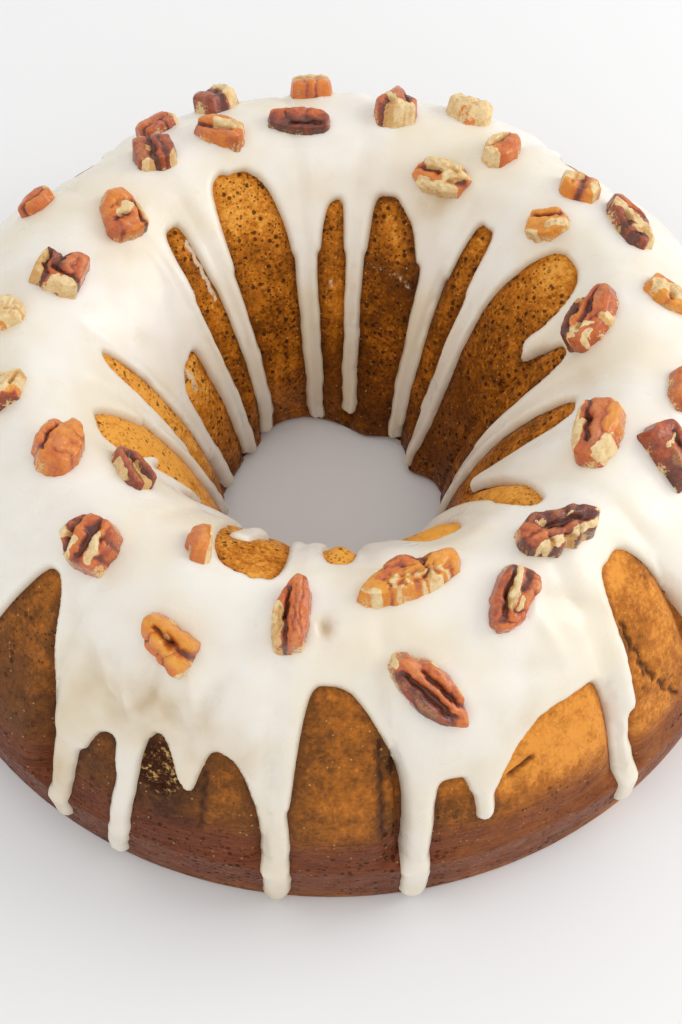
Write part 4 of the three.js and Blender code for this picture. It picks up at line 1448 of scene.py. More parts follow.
    def _close(self, ring: RingMesh, azimuth: Array, reach: Array, depth: Array) -> None:
        """Cuts the sheet along the outline and gives it an underside below the crust."""
        bm = ring.bm
        bm.verts.ensure_lookup_table()
        bm.verts.index_update()
        outside = [f for f in bm.faces if all(depth[v.index] <= 0 for v in f.verts)]
        below = SURFACE.place(azimuth, reach, -self.underside) * MM
        index_layer = bm.verts.layers.int.new("source")
        for vertex in bm.verts:
            vertex[index_layer] = vertex.index
        bmesh.ops.delete(bm, geom=outside, context="FACES")
        grown = bmesh.ops.extrude_face_region(bm, geom=bm.faces[:], use_keep_orig=True)
        deep = [item for item in grown["geom"] if isinstance(item, bmesh.types.BMVert)]
        for vertex in deep:
            vertex[ring.under] = 1.0
            vertex.co = below[vertex[index_layer]]

    def _thinness_and_shade(self, ring: RingMesh) -> Array:
        """Where the icing is thin enough to show what it lies on, and where it is painted darker as shade:
        deep in the hole and at the front left and left.
        """
        azimuth, reach, under = ring.columns()
        depth = self.depth_inside(azimuth, reach)
        veil_and_shade = np.zeros(len(reach))
        for dent in DENTS:
            veil_and_shade += dent.veil_and_shade * self._dent_share(dent, azimuth, reach)
        drift = self.grain.layered(SURFACE.place(azimuth, reach), 7, 3)
        veil_and_shade = veil_and_shade * (1 + 0.5 * drift) + self.cloud_veil * smoothstep(drift, -0.3, 1.0)
        veil_and_shade = veil_and_shade + self.steep_veil * smoothstep(reach, 26, 44)
        # The icing deep in the hole is mixed towards the crust's colour: thin runs and painted shade.
        veil_and_shade = veil_and_shade + self.hole_veil_and_shade * smoothstep(-reach, 28, 60)
        edge = self.edge_veil * (1 - smoothstep(depth, 0.0, self.edge_veil_width))
        return np.clip(np.maximum(edge, veil_and_shade), 0, 1)


# ---------------------------------------------------------------- the pecans

class Skin(Enum):
    """Colour of a pecan's skin, from pale to dark, as a place on the finish's ramp."""

    GOLDEN = 0.10
    ORANGE = 0.30
    SALMON = 0.54
    RED = 0.74
    UMBER = 0.90


Point = tuple[float, float]


@dataclass(frozen=True)
class Stroke:
    """A mark along a line on a kernel, placed in shares of its half length and half width."""

    start: Point
    end: Point
    width: float
    rise: float = 0.0
    flesh: float = 0.0
    dark: float = 0.0
    tone: float = 0.0


def groove(x0: float, y0: float, x1: float, y1: float, width: float = 0.15) -> Stroke:
    """A deep groove with painted shade along it."""
    return Stroke((x0, y0), (x1, y1), width, -1.15, 0.0, 1.0)


def crease(x0: float, y0: float, x1: float, y1: float, width: float = 0.08) -> Stroke:
    """A shallow crease with a little painted shade along it."""
    return Stroke((x0, y0), (x1, y1), width, -0.5, 0.0, 0.42)


def lobe(x0: float, y0: float, x1: float, y1: float, width: float = 0.3, tone: float = 0.0) -> Stroke:
    """A raised lobe."""
    return Stroke((x0, y0), (x1, y1), width, 0.65, 0.0, 0.0, tone)


def cream(x0: float, y0: float, x1: float, y1: float, width: float = 0.3, rise: float = 0.15) -> Stroke:
    """A patch of bare flesh."""
    return Stroke((x0, y0), (x1, y1), width, rise, 1.0)


def tint(x0: float, y0: float, x1: float, y1: float, width: float = 0.4, tone: float = 0.25) -> Stroke:
    """A patch of darker or, with a negative tone, paler skin; on piece 6 such a pair is painted shade and
    painted light.
    """
    return Stroke((x0, y0), (x1, y1), width, 0.0, 0.0, 0.0, tone)


HALF = (
    (1.02, 0.05), (0.7, 0.62), (0.1, 0.95), (-0.5, 0.85), (-0.95, 0.4), (-1.0, -0.25), (-0.6, -0.85),
    (0.1, -0.98), (0.7, -0.65),
)
SLAB = (
    (0.95, 0.7), (0.1, 0.95), (-0.85, 0.85), (-1.0, 0.0), (-0.9, -0.8), (0.0, -0.95), (0.9, -0.8),
    (1.0, 0.0),
)
CHUNK = (
    (0.95, 0.3), (0.5, 0.95), (-0.45, 0.9), (-1.0, 0.25), (-0.7, -0.8), (0.1, -1.0), (0.85, -0.65),
)
WEDGE = (
    (1.0, 0.1), (-0.1, 0.95), (-1.0, 0.55), (-0.9, -0.7), (0.2, -0.85),
)

RIDGED = (
    groove(-0.75, 0.32, 0.75, 0.3), groove(-0.7, -0.3, 0.8, -0.28), crease(-0.2, 0.5, -0.1, 1.0),
    crease(0.3, -0.5, 0.4, -1.0), lobe(-0.6, 0.0, 0.7, 0.02, 0.22), cream(0.85, -0.2, 0.95, 0.3, 0.2),
)
CURLED = (
    groove(-0.7, 0.05, 0.8, 0.0, 0.22), cream(-0.5, 0.05, 0.5, 0.0, 0.12, -0.3),
    lobe(-0.6, 0.5, 0.6, 0.55), lobe(-0.6, -0.5, 0.6, -0.5), crease(-0.3, 0.3, -0.25, 1.0),
    crease(0.2, 0.3, 0.25, 1.0), crease(-0.05, -0.3, 0.0, -1.0), crease(0.5, -0.3, 0.55, -1.0),
)
SPLIT = (
    cream(-0.6, -0.6, 0.6, -0.7, 0.4), groove(-0.6, 0.0, 0.5, -0.1, 0.12),
    lobe(-0.5, 0.5, 0.5, 0.45, 0.35),
)
CRUMBLED = (
    cream(-0.7, 0.3, 0.2, 0.5, 0.45), cream(0.1, -0.4, 0.7, -0.1, 0.5),
    groove(-0.5, -0.2, 0.3, 0.1, 0.14), lobe(-0.5, 0.4, -0.4, 0.3, 0.35),
    lobe(0.4, -0.4, 0.5, -0.3, 0.35), crease(0.3, 0.3, 0.6, 0.8),
)


@dataclass(frozen=True)
class Pecan:
    """One piece of pecan on the icing."""

    number: int
    azimuth: float
    reach: float
    heading: float
    length: float
    width: float
    skin: Skin
    outline: tuple[Point, ...]
    strokes: tuple[Stroke, ...]
    half: bool = False


PECANS = (
    Pecan(1, 109.1, 15.6, 160, 13, 13.5, Skin.SALMON, CHUNK, (
        cream(0.4, -0.8, 0.6, 0.6, 0.3), groove(-0.1, -0.9, 0.1, 0.8),
        tint(-0.7, -0.5, -0.6, 0.5, 0.5, 0.2), crease(0.8, -0.6, 0.9, 0.4), lobe(0.35, -0.6, 0.4, 0.3),
    )),
    Pecan(2, 92.3, 13.8, 178, 12.5, 11.5, Skin.ORANGE, SLAB, (
        cream(-0.8, 0.65, 0.8, 0.6, 0.4), crease(-0.3, -1.0, -0.2, 0.0), crease(0.3, -1.0, 0.3, 0.1),
        groove(-0.8, 0.2, 0.8, 0.2, 0.1),
    )),
    Pecan(3, 120.7, 12.8, 165, 13, 8.5, Skin.SALMON, SLAB, (
        groove(-0.8, -0.35, 0.6, -0.3, 0.12), cream(0.8, -0.6, 0.9, 0.4, 0.3), lobe(-0.7, 0.3, 0.5, 0.3),
        crease(0.1, -1, 0.15, -0.4),
    )),
    Pecan(4, 126, 0.3, 200, 12.4, 12, Skin.RED, SLAB, (
        groove(-0.15, -0.9, -0.1, 0.7, 0.14), cream(-0.8, -1.0, -0.45, -0.95, 0.2),
        cream(0.75, -1.0, 0.95, -0.6, 0.22), crease(0.45, -0.9, 0.4, 0.6), lobe(-0.6, -0.5, -0.55, 0.6),
        cream(-0.3, -0.2, -0.2, 0.2, 0.08),
    )),
    Pecan(5, 112.7, 0, 30, 17, 9.5, Skin.ORANGE, (
        (1.0, 0.35), (0.6, 0.95), (-0.55, 1.1), (-0.75, 0.6), (-0.7, -0.3), (-0.1, -0.75), (0.5, -0.95),
        (0.95, -0.4),
    ), (
        lobe(-0.5, 0.8, 0.8, 0.55, 0.22, 0.25), groove(-0.2, 0.45, 0.9, 0.15, 0.13),
        cream(-0.5, -0.05, 0.15, 0.1, 0.35), lobe(0.4, -0.4, 0.7, -0.3, 0.35),
    ), True),
    Pecan(6, 97.2, -1.7, 8, 18.5, 8.5, Skin.RED, (
        (0.98, 0.5), (0.3, 0.85), (-0.5, 0.9), (-0.95, 0.6), (-1.0, -0.3), (-0.7, -0.85), (0.3, -1.0),
        (0.97, -0.75),
    ), (
        # On this piece the darker tint on the side towards the hole is painted shade and the paler one on
        # the far side painted light.
        tint(-0.7, 0.5, 0.8, 0.5, 0.5, 0.2), groove(-0.7, 0.35, 0.3, 0.45, 0.12),
        tint(-0.6, -0.7, 0.8, -0.75, 0.4, -0.2), crease(-0.2, -0.9, -0.2, 0.1),
        crease(0.35, -0.9, 0.35, 0.1),
    ), True),
    Pecan(7, 77.5, 6.0, 80, 15, 13.5, Skin.SALMON, (
        (1.0, 0.0), (0.2, 0.6), (-0.3, 1.0), (-0.85, 0.8), (-0.95, 0.0), (-0.85, -0.75), (-0.2, -0.95),
        (0.3, -0.45),
    ), (
        cream(-0.85, -0.6, -0.8, 0.2, 0.3), groove(-0.95, 0.45, -0.6, 0.4, 0.16),
        lobe(-0.4, 0.0, 0.8, 0.0, 0.25, 0.1), cream(-0.5, 0.25, 0.0, 0.4, 0.16),
        groove(-0.5, -0.45, 0.2, -0.35, 0.1),
    )),
    Pecan(8, 66, 12.5, 20, 15, 12, Skin.ORANGE, CHUNK, (
        cream(-0.7, -0.1, 0.7, 0.3, 0.75), lobe(-0.6, 0.2, -0.5, 0.1, 0.4),
        lobe(0.0, 0.35, 0.05, 0.2, 0.4), lobe(0.6, 0.1, 0.6, 0.2, 0.35), crease(-0.3, 0.7, -0.25, -0.2),
        crease(0.35, 0.7, 0.3, -0.2), groove(-0.1, -0.5, 0.6, -0.4, 0.1),
    )),
    Pecan(9, 54, 2, 100, 13.5, 10, Skin.ORANGE, HALF, (
        tint(-0.6, -0.5, 0.9, -0.2, 0.6, 0.16), cream(-0.95, -0.4, -0.75, 0.5, 0.42),
        cream(-0.3, 0.7, 0.55, 0.65, 0.3), groove(-0.7, 0.35, 0.5, 0.3, 0.08),
    ), True),
    Pecan(10, 62, -11.8, 171, 18, 11, Skin.ORANGE, (
        (1.0, 0.1), (0.7, 0.8), (0.1, 1.0), (-0.5, 0.95), (-0.8, 0.4), (-0.9, -0.2), (-0.6, -0.8),
        (0.1, -0.95), (0.7, -0.8),
    ), (
        cream(-0.4, 0.75, 0.5, 0.7, 0.42), cream(-0.5, -0.6, 0.5, -0.55, 0.35),
        cream(0.3, 0.1, 0.8, 0.2, 0.3), groove(-0.65, 0.25, -0.05, 0.2, 0.14),
        lobe(-0.7, -0.05, -0.25, -0.05, 0.25, 0.1), crease(0.1, 0.5, 0.5, 0.35),
        groove(0.45, -0.2, 0.9, -0.15, 0.1), crease(-0.1, -0.3, 0.2, -0.9), crease(0.5, 0.3, 0.8, 0.7),
        lobe(0.0, -0.6, 0.1, -0.5, 0.3), lobe(0.0, 0.7, 0.2, 0.7, 0.3),
    ), True),
    Pecan(11, 35.6, 4.9, 160, 13, 10, Skin.GOLDEN, CHUNK, (
        cream(-0.7, -0.2, -0.4, 0.5, 0.4), groove(-0.1, 0.6, 0.25, -0.9, 0.22),
        cream(0.6, 0.2, 0.7, -0.2, 0.3), crease(0.6, 0.8, 0.85, 0.0), crease(-0.5, 0.6, -0.3, -0.6),
    )),
    Pecan(12, 33.2, -7.7, 126, 14, 9, Skin.GOLDEN, (
        (1.1, 0.45), (0.85, 0.9), (-0.35, 1.05), (-0.55, 0.4), (-0.7, -0.4), (-0.35, -0.8), (0.25, -0.9),
        (0.75, -0.6), (1.1, -0.25),
    ), (
        groove(-0.25, 0.62, 0.95, 0.45, 0.13), lobe(-0.3, 0.9, 0.8, 0.8, 0.16),
        cream(0.35, -0.25, 0.95, -0.1, 0.2), lobe(-0.3, 0.1, 0.5, 0.0, 0.3),
        cream(-0.55, -0.6, -0.3, -0.7, 0.18),
    )),
    Pecan(13, 25.1, 8, 178, 21, 10, Skin.RED, (
        (1.0, 0.3), (0.5, 0.75), (0.1, 1.05), (-0.3, 0.95), (-0.85, 0.5), (-0.95, 0.0), (-0.5, -0.7),
        (0.2, -1.0), (0.75, -1.0), (1.0, -0.5),
    ), (
        lobe(-0.7, 0.3, -0.1, 0.6, 0.3, -0.12), groove(-0.25, 0.25, 0.1, 0.75, 0.1),
        cream(-0.5, -0.3, 0.4, 0.1, 0.26), cream(0.4, 0.35, 0.9, 0.2, 0.3),
        groove(-0.05, -0.35, 0.3, -0.9, 0.15), cream(0.4, -0.5, 0.5, -0.3, 0.24),
        groove(0.7, -0.1, 0.75, -0.9, 0.15), crease(0.35, 0.5, 0.6, 0.0),
    ), True),
    Pecan(14, 148.9, 15, 20, 12, 9, Skin.SALMON, HALF, (
        cream(-0.95, -0.3, -0.9, 0.4, 0.2), groove(-0.6, 0.3, 0.7, 0.25, 0.1),
        tint(-0.5, 0.5, 0.6, 0.5, 0.5, -0.15),
    )),
    Pecan(15, 142.8, -8.2, -71, 14, 13, Skin.ORANGE, (
        (1.15, -0.1), (1.05, 0.75), (0.3, 0.8), (-0.4, 0.65), (-0.9, 0.4), (-0.95, -0.3), (-0.5, -0.75),
        (0.05, -0.95), (0.6, -1.1), (1.05, -0.9),
    ), (
        cream(0.1, 0.7, 1.1, 0.8, 0.16, -0.2), groove(-0.1, 0.45, 1.1, 0.5, 0.08),
        cream(0.05, 0.15, 0.2, -0.35, 0.2), lobe(0.65, -0.1, 0.7, -0.5, 0.35, 0.22),
        groove(0.4, -0.1, 0.35, -0.7, 0.09), lobe(-0.6, -0.1, -0.5, 0.1, 0.4),
        crease(-0.2, 0.3, -0.2, -0.6), crease(0.4, -0.6, 1.0, -0.62),
        tint(0.2, -0.8, 0.9, -0.9, 0.25, 0.2),
    )),
    Pecan(16, 163.2, -3.8, -94, 15, 13.5, Skin.SALMON, (
        (1.05, 0.3), (1.05, 0.8), (0.6, 0.95), (0.15, 0.5), (-0.25, 0.45), (-0.6, 0.8), (-0.8, 0.1),
        (-0.85, -0.8), (-0.2, -1.0), (0.4, -1.05), (0.95, -0.9),
    ), (
        cream(-0.75, 0.3, -0.7, -0.8, 0.22, -0.3), groove(-0.5, 0.5, -0.35, -0.8, 0.1),
        tint(-0.2, 0.3, 0.0, -0.1, 0.35, 0.35), lobe(0.5, 0.4, 0.85, 0.5, 0.22),
        lobe(0.3, -0.05, 0.4, -0.2, 0.25), lobe(0.8, 0.0, 0.85, -0.2, 0.2),
        groove(0.0, -0.45, 0.95, -0.55, 0.08), cream(0.1, -0.85, 0.8, -0.8, 0.18),
        crease(0.6, 0.3, 0.6, -0.4), groove(0.1, 0.45, 0.0, -0.3, 0.06),
        lobe(-0.15, 0.1, -0.1, -0.1, 0.15), crease(-0.7, 0.0, -0.5, -0.1),
        crease(-0.7, -0.4, -0.5, -0.45),
    ), True),
    Pecan(17, 174.7, 3.7, -100, 14, 10, Skin.GOLDEN, CHUNK, (
        cream(-0.6, 0.2, 0.7, 0.1, 0.6), crease(-0.2, 0.2, 0.4, 0.1),
        tint(-0.6, 0.9, 0.8, 0.5, 0.16, 0.7), cream(-0.1, -0.6, 0.5, -0.5, 0.35),
        crease(0.2, -0.2, 0.75, -0.35), lobe(0.1, 0.35, 0.2, 0.3), lobe(0.2, -0.5, 0.3, -0.5),
    )),
    Pecan(18, 191.1, 2.4, -116, 15, 11, Skin.GOLDEN, WEDGE, (
        cream(-0.6, 0.1, 0.6, 0.2, 0.7), groove(0.3, -0.35, 0.75, 0.05, 0.08),
        tint(-0.9, -0.6, 0.2, -0.8, 0.14, 0.7), crease(-0.3, 0.5, 0.0, -0.2), lobe(-0.4, -0.3, 0.0, -0.3),
    )),
    Pecan(19, 207.9, -3.1, -127, 17, 13, Skin.ORANGE, (
        (1.15, 0.2), (0.8, 0.35), (0.75, 0.7), (0.4, 0.98), (-0.3, 1.0), (-0.5, 0.7), (-0.85, 0.35),
        (-0.95, -0.2), (-0.85, -0.7), (-0.5, -0.95), (0.0, -0.95), (0.6, -0.8), (1.05, -0.3),
    ), (
        groove(-0.55, 0.5, 0.1, 0.5, 0.09), groove(0.1, 0.5, 0.75, 0.3, 0.07),
        lobe(-0.3, 0.8, 0.5, 0.7, 0.2, 0.12), cream(0.1, 0.92, 0.5, 0.88, 0.12),
        lobe(-0.3, 0.0, 0.8, -0.05, 0.4), crease(-0.5, -0.1, -0.3, -0.9), crease(0.0, 0.1, 0.15, -0.9),
        crease(0.45, 0.0, 0.5, -0.8), cream(0.8, 0.3, 1.1, 0.25, 0.07),
        tint(-0.7, -0.4, -0.3, 0.2, 0.35, 0.12),
    ), True),
    Pecan(20, 217.7, -16.9, 3, 17, 9.5, Skin.RED, (
        (0.95, 0.2), (0.6, 0.85), (0.0, 1.0), (-0.6, 0.85), (-1.0, 0.1), (-0.7, -0.6), (-0.1, -0.95),
        (0.6, -1.05), (0.95, -0.7),
    ), (
        cream(-0.15, 0.1, 0.9, -0.2, 0.32, -0.7), lobe(-0.5, 0.6, 0.6, 0.6, 0.25),
        lobe(-0.8, -0.1, 0.7, -0.8, 0.22), groove(-0.5, 0.3, 0.75, 0.25, 0.08),
        groove(-0.6, 0.0, 0.65, -0.5, 0.08), cream(-0.3, -0.85, 0.3, -1.0, 0.1),
    ), True),
    Pecan(21, 227.9, 5, -100, 15.5, 14.5, Skin.SALMON, (
        (0.98, -0.3), (0.92, 0.35), (0.5, 0.85), (-0.1, 1.02), (-0.5, 0.62), (-0.8, 0.4), (-0.85, -0.4),
        (-0.75, -0.9), (-0.3, -1.0), (0.2, -1.02), (0.75, -0.85),
    ), (
        groove(-0.75, 0.36, -0.1, 0.46, 0.09), groove(-0.1, 0.46, 0.7, 0.42, 0.08),
        groove(-0.65, -0.2, 0.75, -0.22, 0.12), lobe(-0.6, 0.12, 0.8, 0.1, 0.16),
        cream(-0.65, 0.2, -0.2, 0.14, 0.13), cream(-0.55, -0.55, 0.25, -0.5, 0.16),
        lobe(-0.5, -0.5, 0.8, -0.5, 0.18), crease(-0.1, -0.75, 0.7, -0.72),
        cream(-0.15, 0.85, -0.05, 0.65, 0.15), crease(0.1, 1.0, 0.15, 0.6), crease(0.5, 0.85, 0.45, 0.5),
        tint(0.2, -0.7, 0.8, -0.6, 0.25, -0.1), crease(-0.35, -0.65, -0.3, -1.0),
        crease(0.25, -0.7, 0.3, -1.0),
    ), True),
    Pecan(22, 243.9, -8.8, -95, 12, 8.5, Skin.ORANGE, (
        (1.0, 0.5), (0.5, 0.95), (-0.3, 0.9), (-1.0, 0.1), (-1.0, -0.7), (-0.7, -0.95), (0.2, -0.55),
        (0.95, -0.1),
    ), (
        cream(-0.75, -0.95, 1.0, -0.1, 0.16), tint(-0.8, 0.3, 0.3, 0.7, 0.4, 0.2),
        lobe(-0.5, -0.1, 0.6, 0.3, 0.35),
    )),
    Pecan(23, 247.3, 16.3, 27, 18.4, 10.8, Skin.GOLDEN, (
        (0.85, -0.35), (0.78, 0.35), (0.62, 1.1), (0.0, 0.92), (-0.6, 0.75), (-0.92, 0.45), (-0.97, 0.05),
        (-0.75, -0.45), (-0.35, -0.8), (0.3, -0.82), (0.85, -0.85),
    ), (
        groove(-0.65, 0.22, 0.0, 0.28, 0.1), groove(0.0, 0.28, 0.72, 0.5, 0.17),
        lobe(-0.7, 0.5, 0.55, 0.85, 0.22, 0.05), lobe(-0.6, -0.1, 0.6, -0.2, 0.28),
        cream(0.85, -0.6, 0.78, 0.15, 0.12), crease(-0.4, 0.05, -0.45, -0.7),
        crease(0.0, 0.05, 0.0, -0.7), crease(0.35, 0.05, 0.38, -0.75),
        tint(-0.6, -0.3, -0.3, -0.5, 0.35, 0.3), tint(0.1, -0.6, 0.7, -0.7, 0.25, 0.3),
        cream(-0.2, 0.32, -0.12, 0.34, 0.07),
    ), True),
    Pecan(24, 263.7, 3.5, -94, 19, 10, Skin.SALMON, (
        (1.12, -0.15), (0.75, 0.45), (0.15, 0.98), (-0.4, 1.0), (-0.88, 0.92), (-0.95, 0.2),
        (-0.88, -0.55), (-0.2, -0.82), (0.5, -0.88), (1.0, -0.65),
    ), (
        cream(-0.75, 0.78, 0.2, 0.72, 0.27, -0.2), groove(-0.88, 0.35, -0.1, 0.32, 0.1),
        groove(-0.1, 0.32, 0.7, 0.15, 0.08), lobe(-0.7, -0.2, 1.0, -0.25, 0.34),
        crease(-0.6, -0.35, 0.8, -0.45, 0.05), crease(-0.5, -0.1, 0.7, -0.15, 0.05),
        crease(-0.6, 0.65, 0.1, 0.62, 0.05), crease(-0.3, 1.0, -0.25, 0.5, 0.05),
        tint(-0.6, 0.9, 0.1, 0.9, 0.14, 0.1),
    ), True),
    Pecan(25, 284.1, -1.9, -7, 27, 10.5, Skin.GOLDEN, (
        (1.08, 0.1), (1.04, 0.72), (0.5, 0.72), (0.33, 0.8), (0.2, 1.15), (-0.12, 1.2), (-0.32, 0.82),
        (-0.65, 0.5), (-0.98, -0.15), (-0.85, -0.6), (-0.4, -0.92), (0.1, -0.98), (0.6, -0.85),
        (0.95, -0.5),
    ), (
        groove(0.33, 0.7, 0.36, -0.6, 0.1), crease(-0.36, 0.0, -0.4, -0.9),
        crease(-0.12, 0.0, -0.14, -0.95), crease(0.12, 0.0, 0.12, -0.95), crease(0.55, -0.1, 0.56, -0.9),
        crease(0.76, -0.1, 0.76, -0.75), cream(-0.25, -0.1, -0.27, -0.8, 0.13),
        cream(0.0, -0.2, 0.0, -0.85, 0.1), cream(0.23, -0.3, 0.24, -0.85, 0.1),
        cream(0.45, -0.3, 0.46, -0.8, 0.1), cream(0.65, -0.3, 0.66, -0.7, 0.08),
        cream(-0.8, -0.3, -0.6, -0.7, 0.13), tint(-0.35, 0.4, 0.2, 0.8, 0.4, 0.42),
        crease(-0.3, 0.6, 0.2, 0.3), crease(-0.1, 1.1, 0.0, 0.2), lobe(0.55, 0.4, 0.95, 0.4, 0.35, 0.08),
        lobe(-0.2, 0.6, 0.1, 0.9, 0.2), cream(-0.35, 0.75, -0.25, 0.8, 0.1),
    ), True),
    Pecan(26, 311.2, 2.4, 21, 24, 12, Skin.UMBER, (
        (1.1, 0.35), (0.85, 0.75), (0.5, 1.0), (0.25, 0.85), (0.0, 0.95), (-0.4, 1.1), (-0.75, 0.65),
        (-0.85, -0.1), (-0.7, -0.55), (-0.35, -0.7), (-0.1, -1.0), (0.1, -0.6), (0.35, -0.8),
        (0.55, -0.5), (0.8, -0.55), (0.95, -0.05),
    ), (
        groove(-0.25, 0.2, 0.8, 0.22, 0.12), crease(-0.6, 0.75, -0.3, 0.25),
        crease(-0.15, 0.9, -0.12, 0.3), crease(0.3, 0.8, 0.25, 0.3), crease(0.62, 0.8, 0.5, 0.3),
        crease(-0.7, 0.0, -0.2, 0.15), cream(-0.45, -0.6, 0.1, -0.5, 0.17),
        cream(0.2, -0.55, 0.95, -0.05, 0.17), cream(0.95, 0.3, 1.08, 0.35, 0.1),
        groove(-0.28, -0.3, -0.25, -0.9, 0.07), groove(0.12, -0.25, 0.15, -0.8, 0.07),
        groove(0.45, -0.15, 0.5, -0.7, 0.07), tint(-0.6, 0.5, -0.5, -0.1, 0.4, -0.28),
        lobe(-0.45, 0.7, -0.5, 0.3, 0.25), lobe(0.05, 0.65, 0.05, 0.5, 0.25),
        lobe(0.45, 0.65, 0.5, 0.5, 0.2), cream(-0.32, 0.5, -0.28, 0.4, 0.07),
        lobe(-0.4, -0.15, 0.7, -0.15, 0.2, -0.15), cream(0.3, 0.45, 0.38, 0.5, 0.05),
    ), True),
    Pecan(27, 298.4, 8.8, -38, 17.5, 10.5, Skin.SALMON, (
        (1.05, -0.2), (1.0, 0.4), (0.92, 0.95), (0.4, 1.05), (-0.3, 1.0), (-0.85, 0.62), (-1.0, 0.0),
        (-0.8, -0.5), (-0.4, -0.85), (0.1, -0.75), (0.55, -0.95), (0.95, -0.7),
    ), (
        groove(-0.6, 0.2, 0.0, 0.52, 0.12), groove(0.0, 0.52, 0.85, 0.68, 0.12),
        cream(-0.25, 0.08, 0.3, 0.28, 0.2, 0.3), cream(0.3, 0.28, 0.95, 0.45, 0.16, 0.3),
        tint(-0.7, 0.4, 0.6, 0.95, 0.3, 0.12), tint(-0.7, -0.2, -0.5, 0.1, 0.4, -0.1),
        tint(0.4, -0.15, 0.9, -0.1, 0.2, 0.35), lobe(-0.1, -0.5, 0.3, -0.5, 0.25),
        lobe(0.6, -0.65, 0.8, -0.5, 0.22), crease(0.35, 0.0, 0.4, -0.8), crease(-0.25, -0.1, -0.2, -0.8),
        crease(0.75, 0.0, 0.75, -0.8), cream(-0.15, -0.3, 0.1, -0.2, 0.08),
        crease(-0.75, 0.3, -0.6, -0.4),
    ), True),
    Pecan(28, 283.2, 23.2, 55, 25, 11.5, Skin.SALMON, (
        (1.05, 0.1), (0.75, 0.5), (0.55, 0.85), (0.1, 1.0), (-0.45, 0.98), (-0.6, 0.62), (-0.92, 0.4),
        (-0.98, 0.0), (-0.85, -0.55), (-0.4, -0.92), (0.2, -0.95), (0.7, -0.62),
    ), (
        groove(-0.5, 0.45, 0.55, 0.5, 0.1), lobe(-0.85, 0.18, 0.95, 0.16, 0.2),
        groove(-0.7, -0.15, 0.6, -0.12, 0.13), tint(-0.6, -0.55, 0.6, -0.5, 0.45, 0.38),
        lobe(-0.5, -0.5, 0.6, -0.45, 0.25), lobe(-0.4, 0.78, 0.45, 0.78, 0.17),
        cream(-0.95, 0.25, -0.92, -0.25, 0.1), cream(0.2, 0.98, 0.55, 0.85, 0.07),
        cream(-0.4, 0.98, -0.2, 1.0, 0.06), tint(-0.3, 0.4, 0.4, 0.4, 0.12, 0.25),
    ), True),
    Pecan(29, 334.1, -5.2, -8, 21, 13, Skin.SALMON, (
        (1.1, 0.3), (1.0, 0.9), (0.1, 0.98), (-0.5, 0.8), (-0.85, 0.5), (-0.95, -0.2), (-0.75, -0.6),
        (-0.3, -0.85), (0.3, -0.98), (0.85, -0.85), (1.1, -0.4),
    ), (
        cream(-0.5, 0.6, 0.15, 0.65, 0.24, 0.5), cream(0.2, 0.85, 0.8, 0.85, 0.12),
        groove(-0.45, 0.15, 0.3, 0.3, 0.09), groove(0.3, 0.3, 1.0, 0.5, 0.09),
        lobe(-0.5, -0.15, 0.9, 0.05, 0.25), crease(-0.2, -0.35, 0.9, -0.3),
        tint(-0.5, -0.2, 0.4, 0.1, 0.3, 0.1), tint(0.1, -0.65, 0.9, -0.6, 0.35, -0.3),
        cream(-0.75, -0.45, -0.3, -0.75, 0.2), cream(0.9, -0.7, 1.0, -0.5, 0.12),
        lobe(0.1, -0.65, 0.8, -0.6, 0.25),
    ), True),
    Pecan(30, 5.9, -10.1, 40, 19, 13, Skin.SALMON, (
        (1.1, -0.35), (1.05, 0.15), (0.58, 0.3), (0.5, 0.82), (-0.2, 0.85), (-0.85, 0.7), (-0.95, 0.0),
        (-0.9, -0.55), (-0.4, -0.98), (0.2, -1.05), (0.8, -0.8),
    ), (
        groove(-0.85, 0.42, 0.0, 0.45, 0.13), groove(0.0, 0.45, 0.5, 0.6, 0.1),
        tint(-0.7, 0.7, 0.3, 0.75, 0.2, 0.22), cream(0.3, 0.75, 0.5, 0.6, 0.1),
        cream(-0.75, 0.1, -0.45, -0.1, 0.16), groove(-0.35, -0.15, 0.3, 0.0, 0.08),
        lobe(-0.4, 0.15, 0.3, 0.2, 0.16), lobe(0.2, -0.4, 1.0, -0.15, 0.28, 0.08),
        groove(0.1, -0.2, 0.9, 0.02, 0.05), cream(-0.35, -0.35, -0.2, -0.6, 0.12),
        cream(-0.75, -0.55, -0.5, -0.75, 0.13), tint(-0.3, 0.0, 0.0, 0.2, 0.2, -0.2),
        lobe(-0.6, -0.3, -0.5, -0.4, 0.2), crease(-0.05, -0.5, 0.0, -1.0),
        cream(0.0, -0.9, 0.2, -0.95, 0.08),
    ), True),
    Pecan(31, 7.1, 9.6, 135, 15, 9.5, Skin.GOLDEN, WEDGE, (
        cream(-0.5, -0.3, 0.3, 0.2, 0.4), tint(-0.6, 0.5, 0.2, 0.9, 0.25, 0.35),
        groove(-0.1, -0.1, 0.2, -0.7, 0.1), lobe(0.1, 0.4, 0.3, 0.2),
    )),
    Pecan(32, 350.7, 10.6, 4, 15, 10, Skin.SALMON, CHUNK, SPLIT),
    Pecan(33, 336.1, 12.1, 115, 19, 12, Skin.RED, SLAB, (
        cream(-0.32, 0.15, -0.3, -0.45, 0.13, 0.4), groove(-0.5, 0.35, 0.8, 0.3, 0.1),
        lobe(-0.5, 0.65, 0.7, 0.65, 0.25), crease(-0.2, 0.2, 0.9, -0.1), lobe(0.0, -0.4, 0.8, -0.4, 0.3),
        tint(0.2, -0.7, 0.9, -0.7, 0.3, 0.2),
    ), True),
    Pecan(34, 182, 26, 60, 18, 11, Skin.RED, HALF, RIDGED, True),
    Pecan(35, 204, 21, 10, 14, 11, Skin.ORANGE, CHUNK, CRUMBLED),
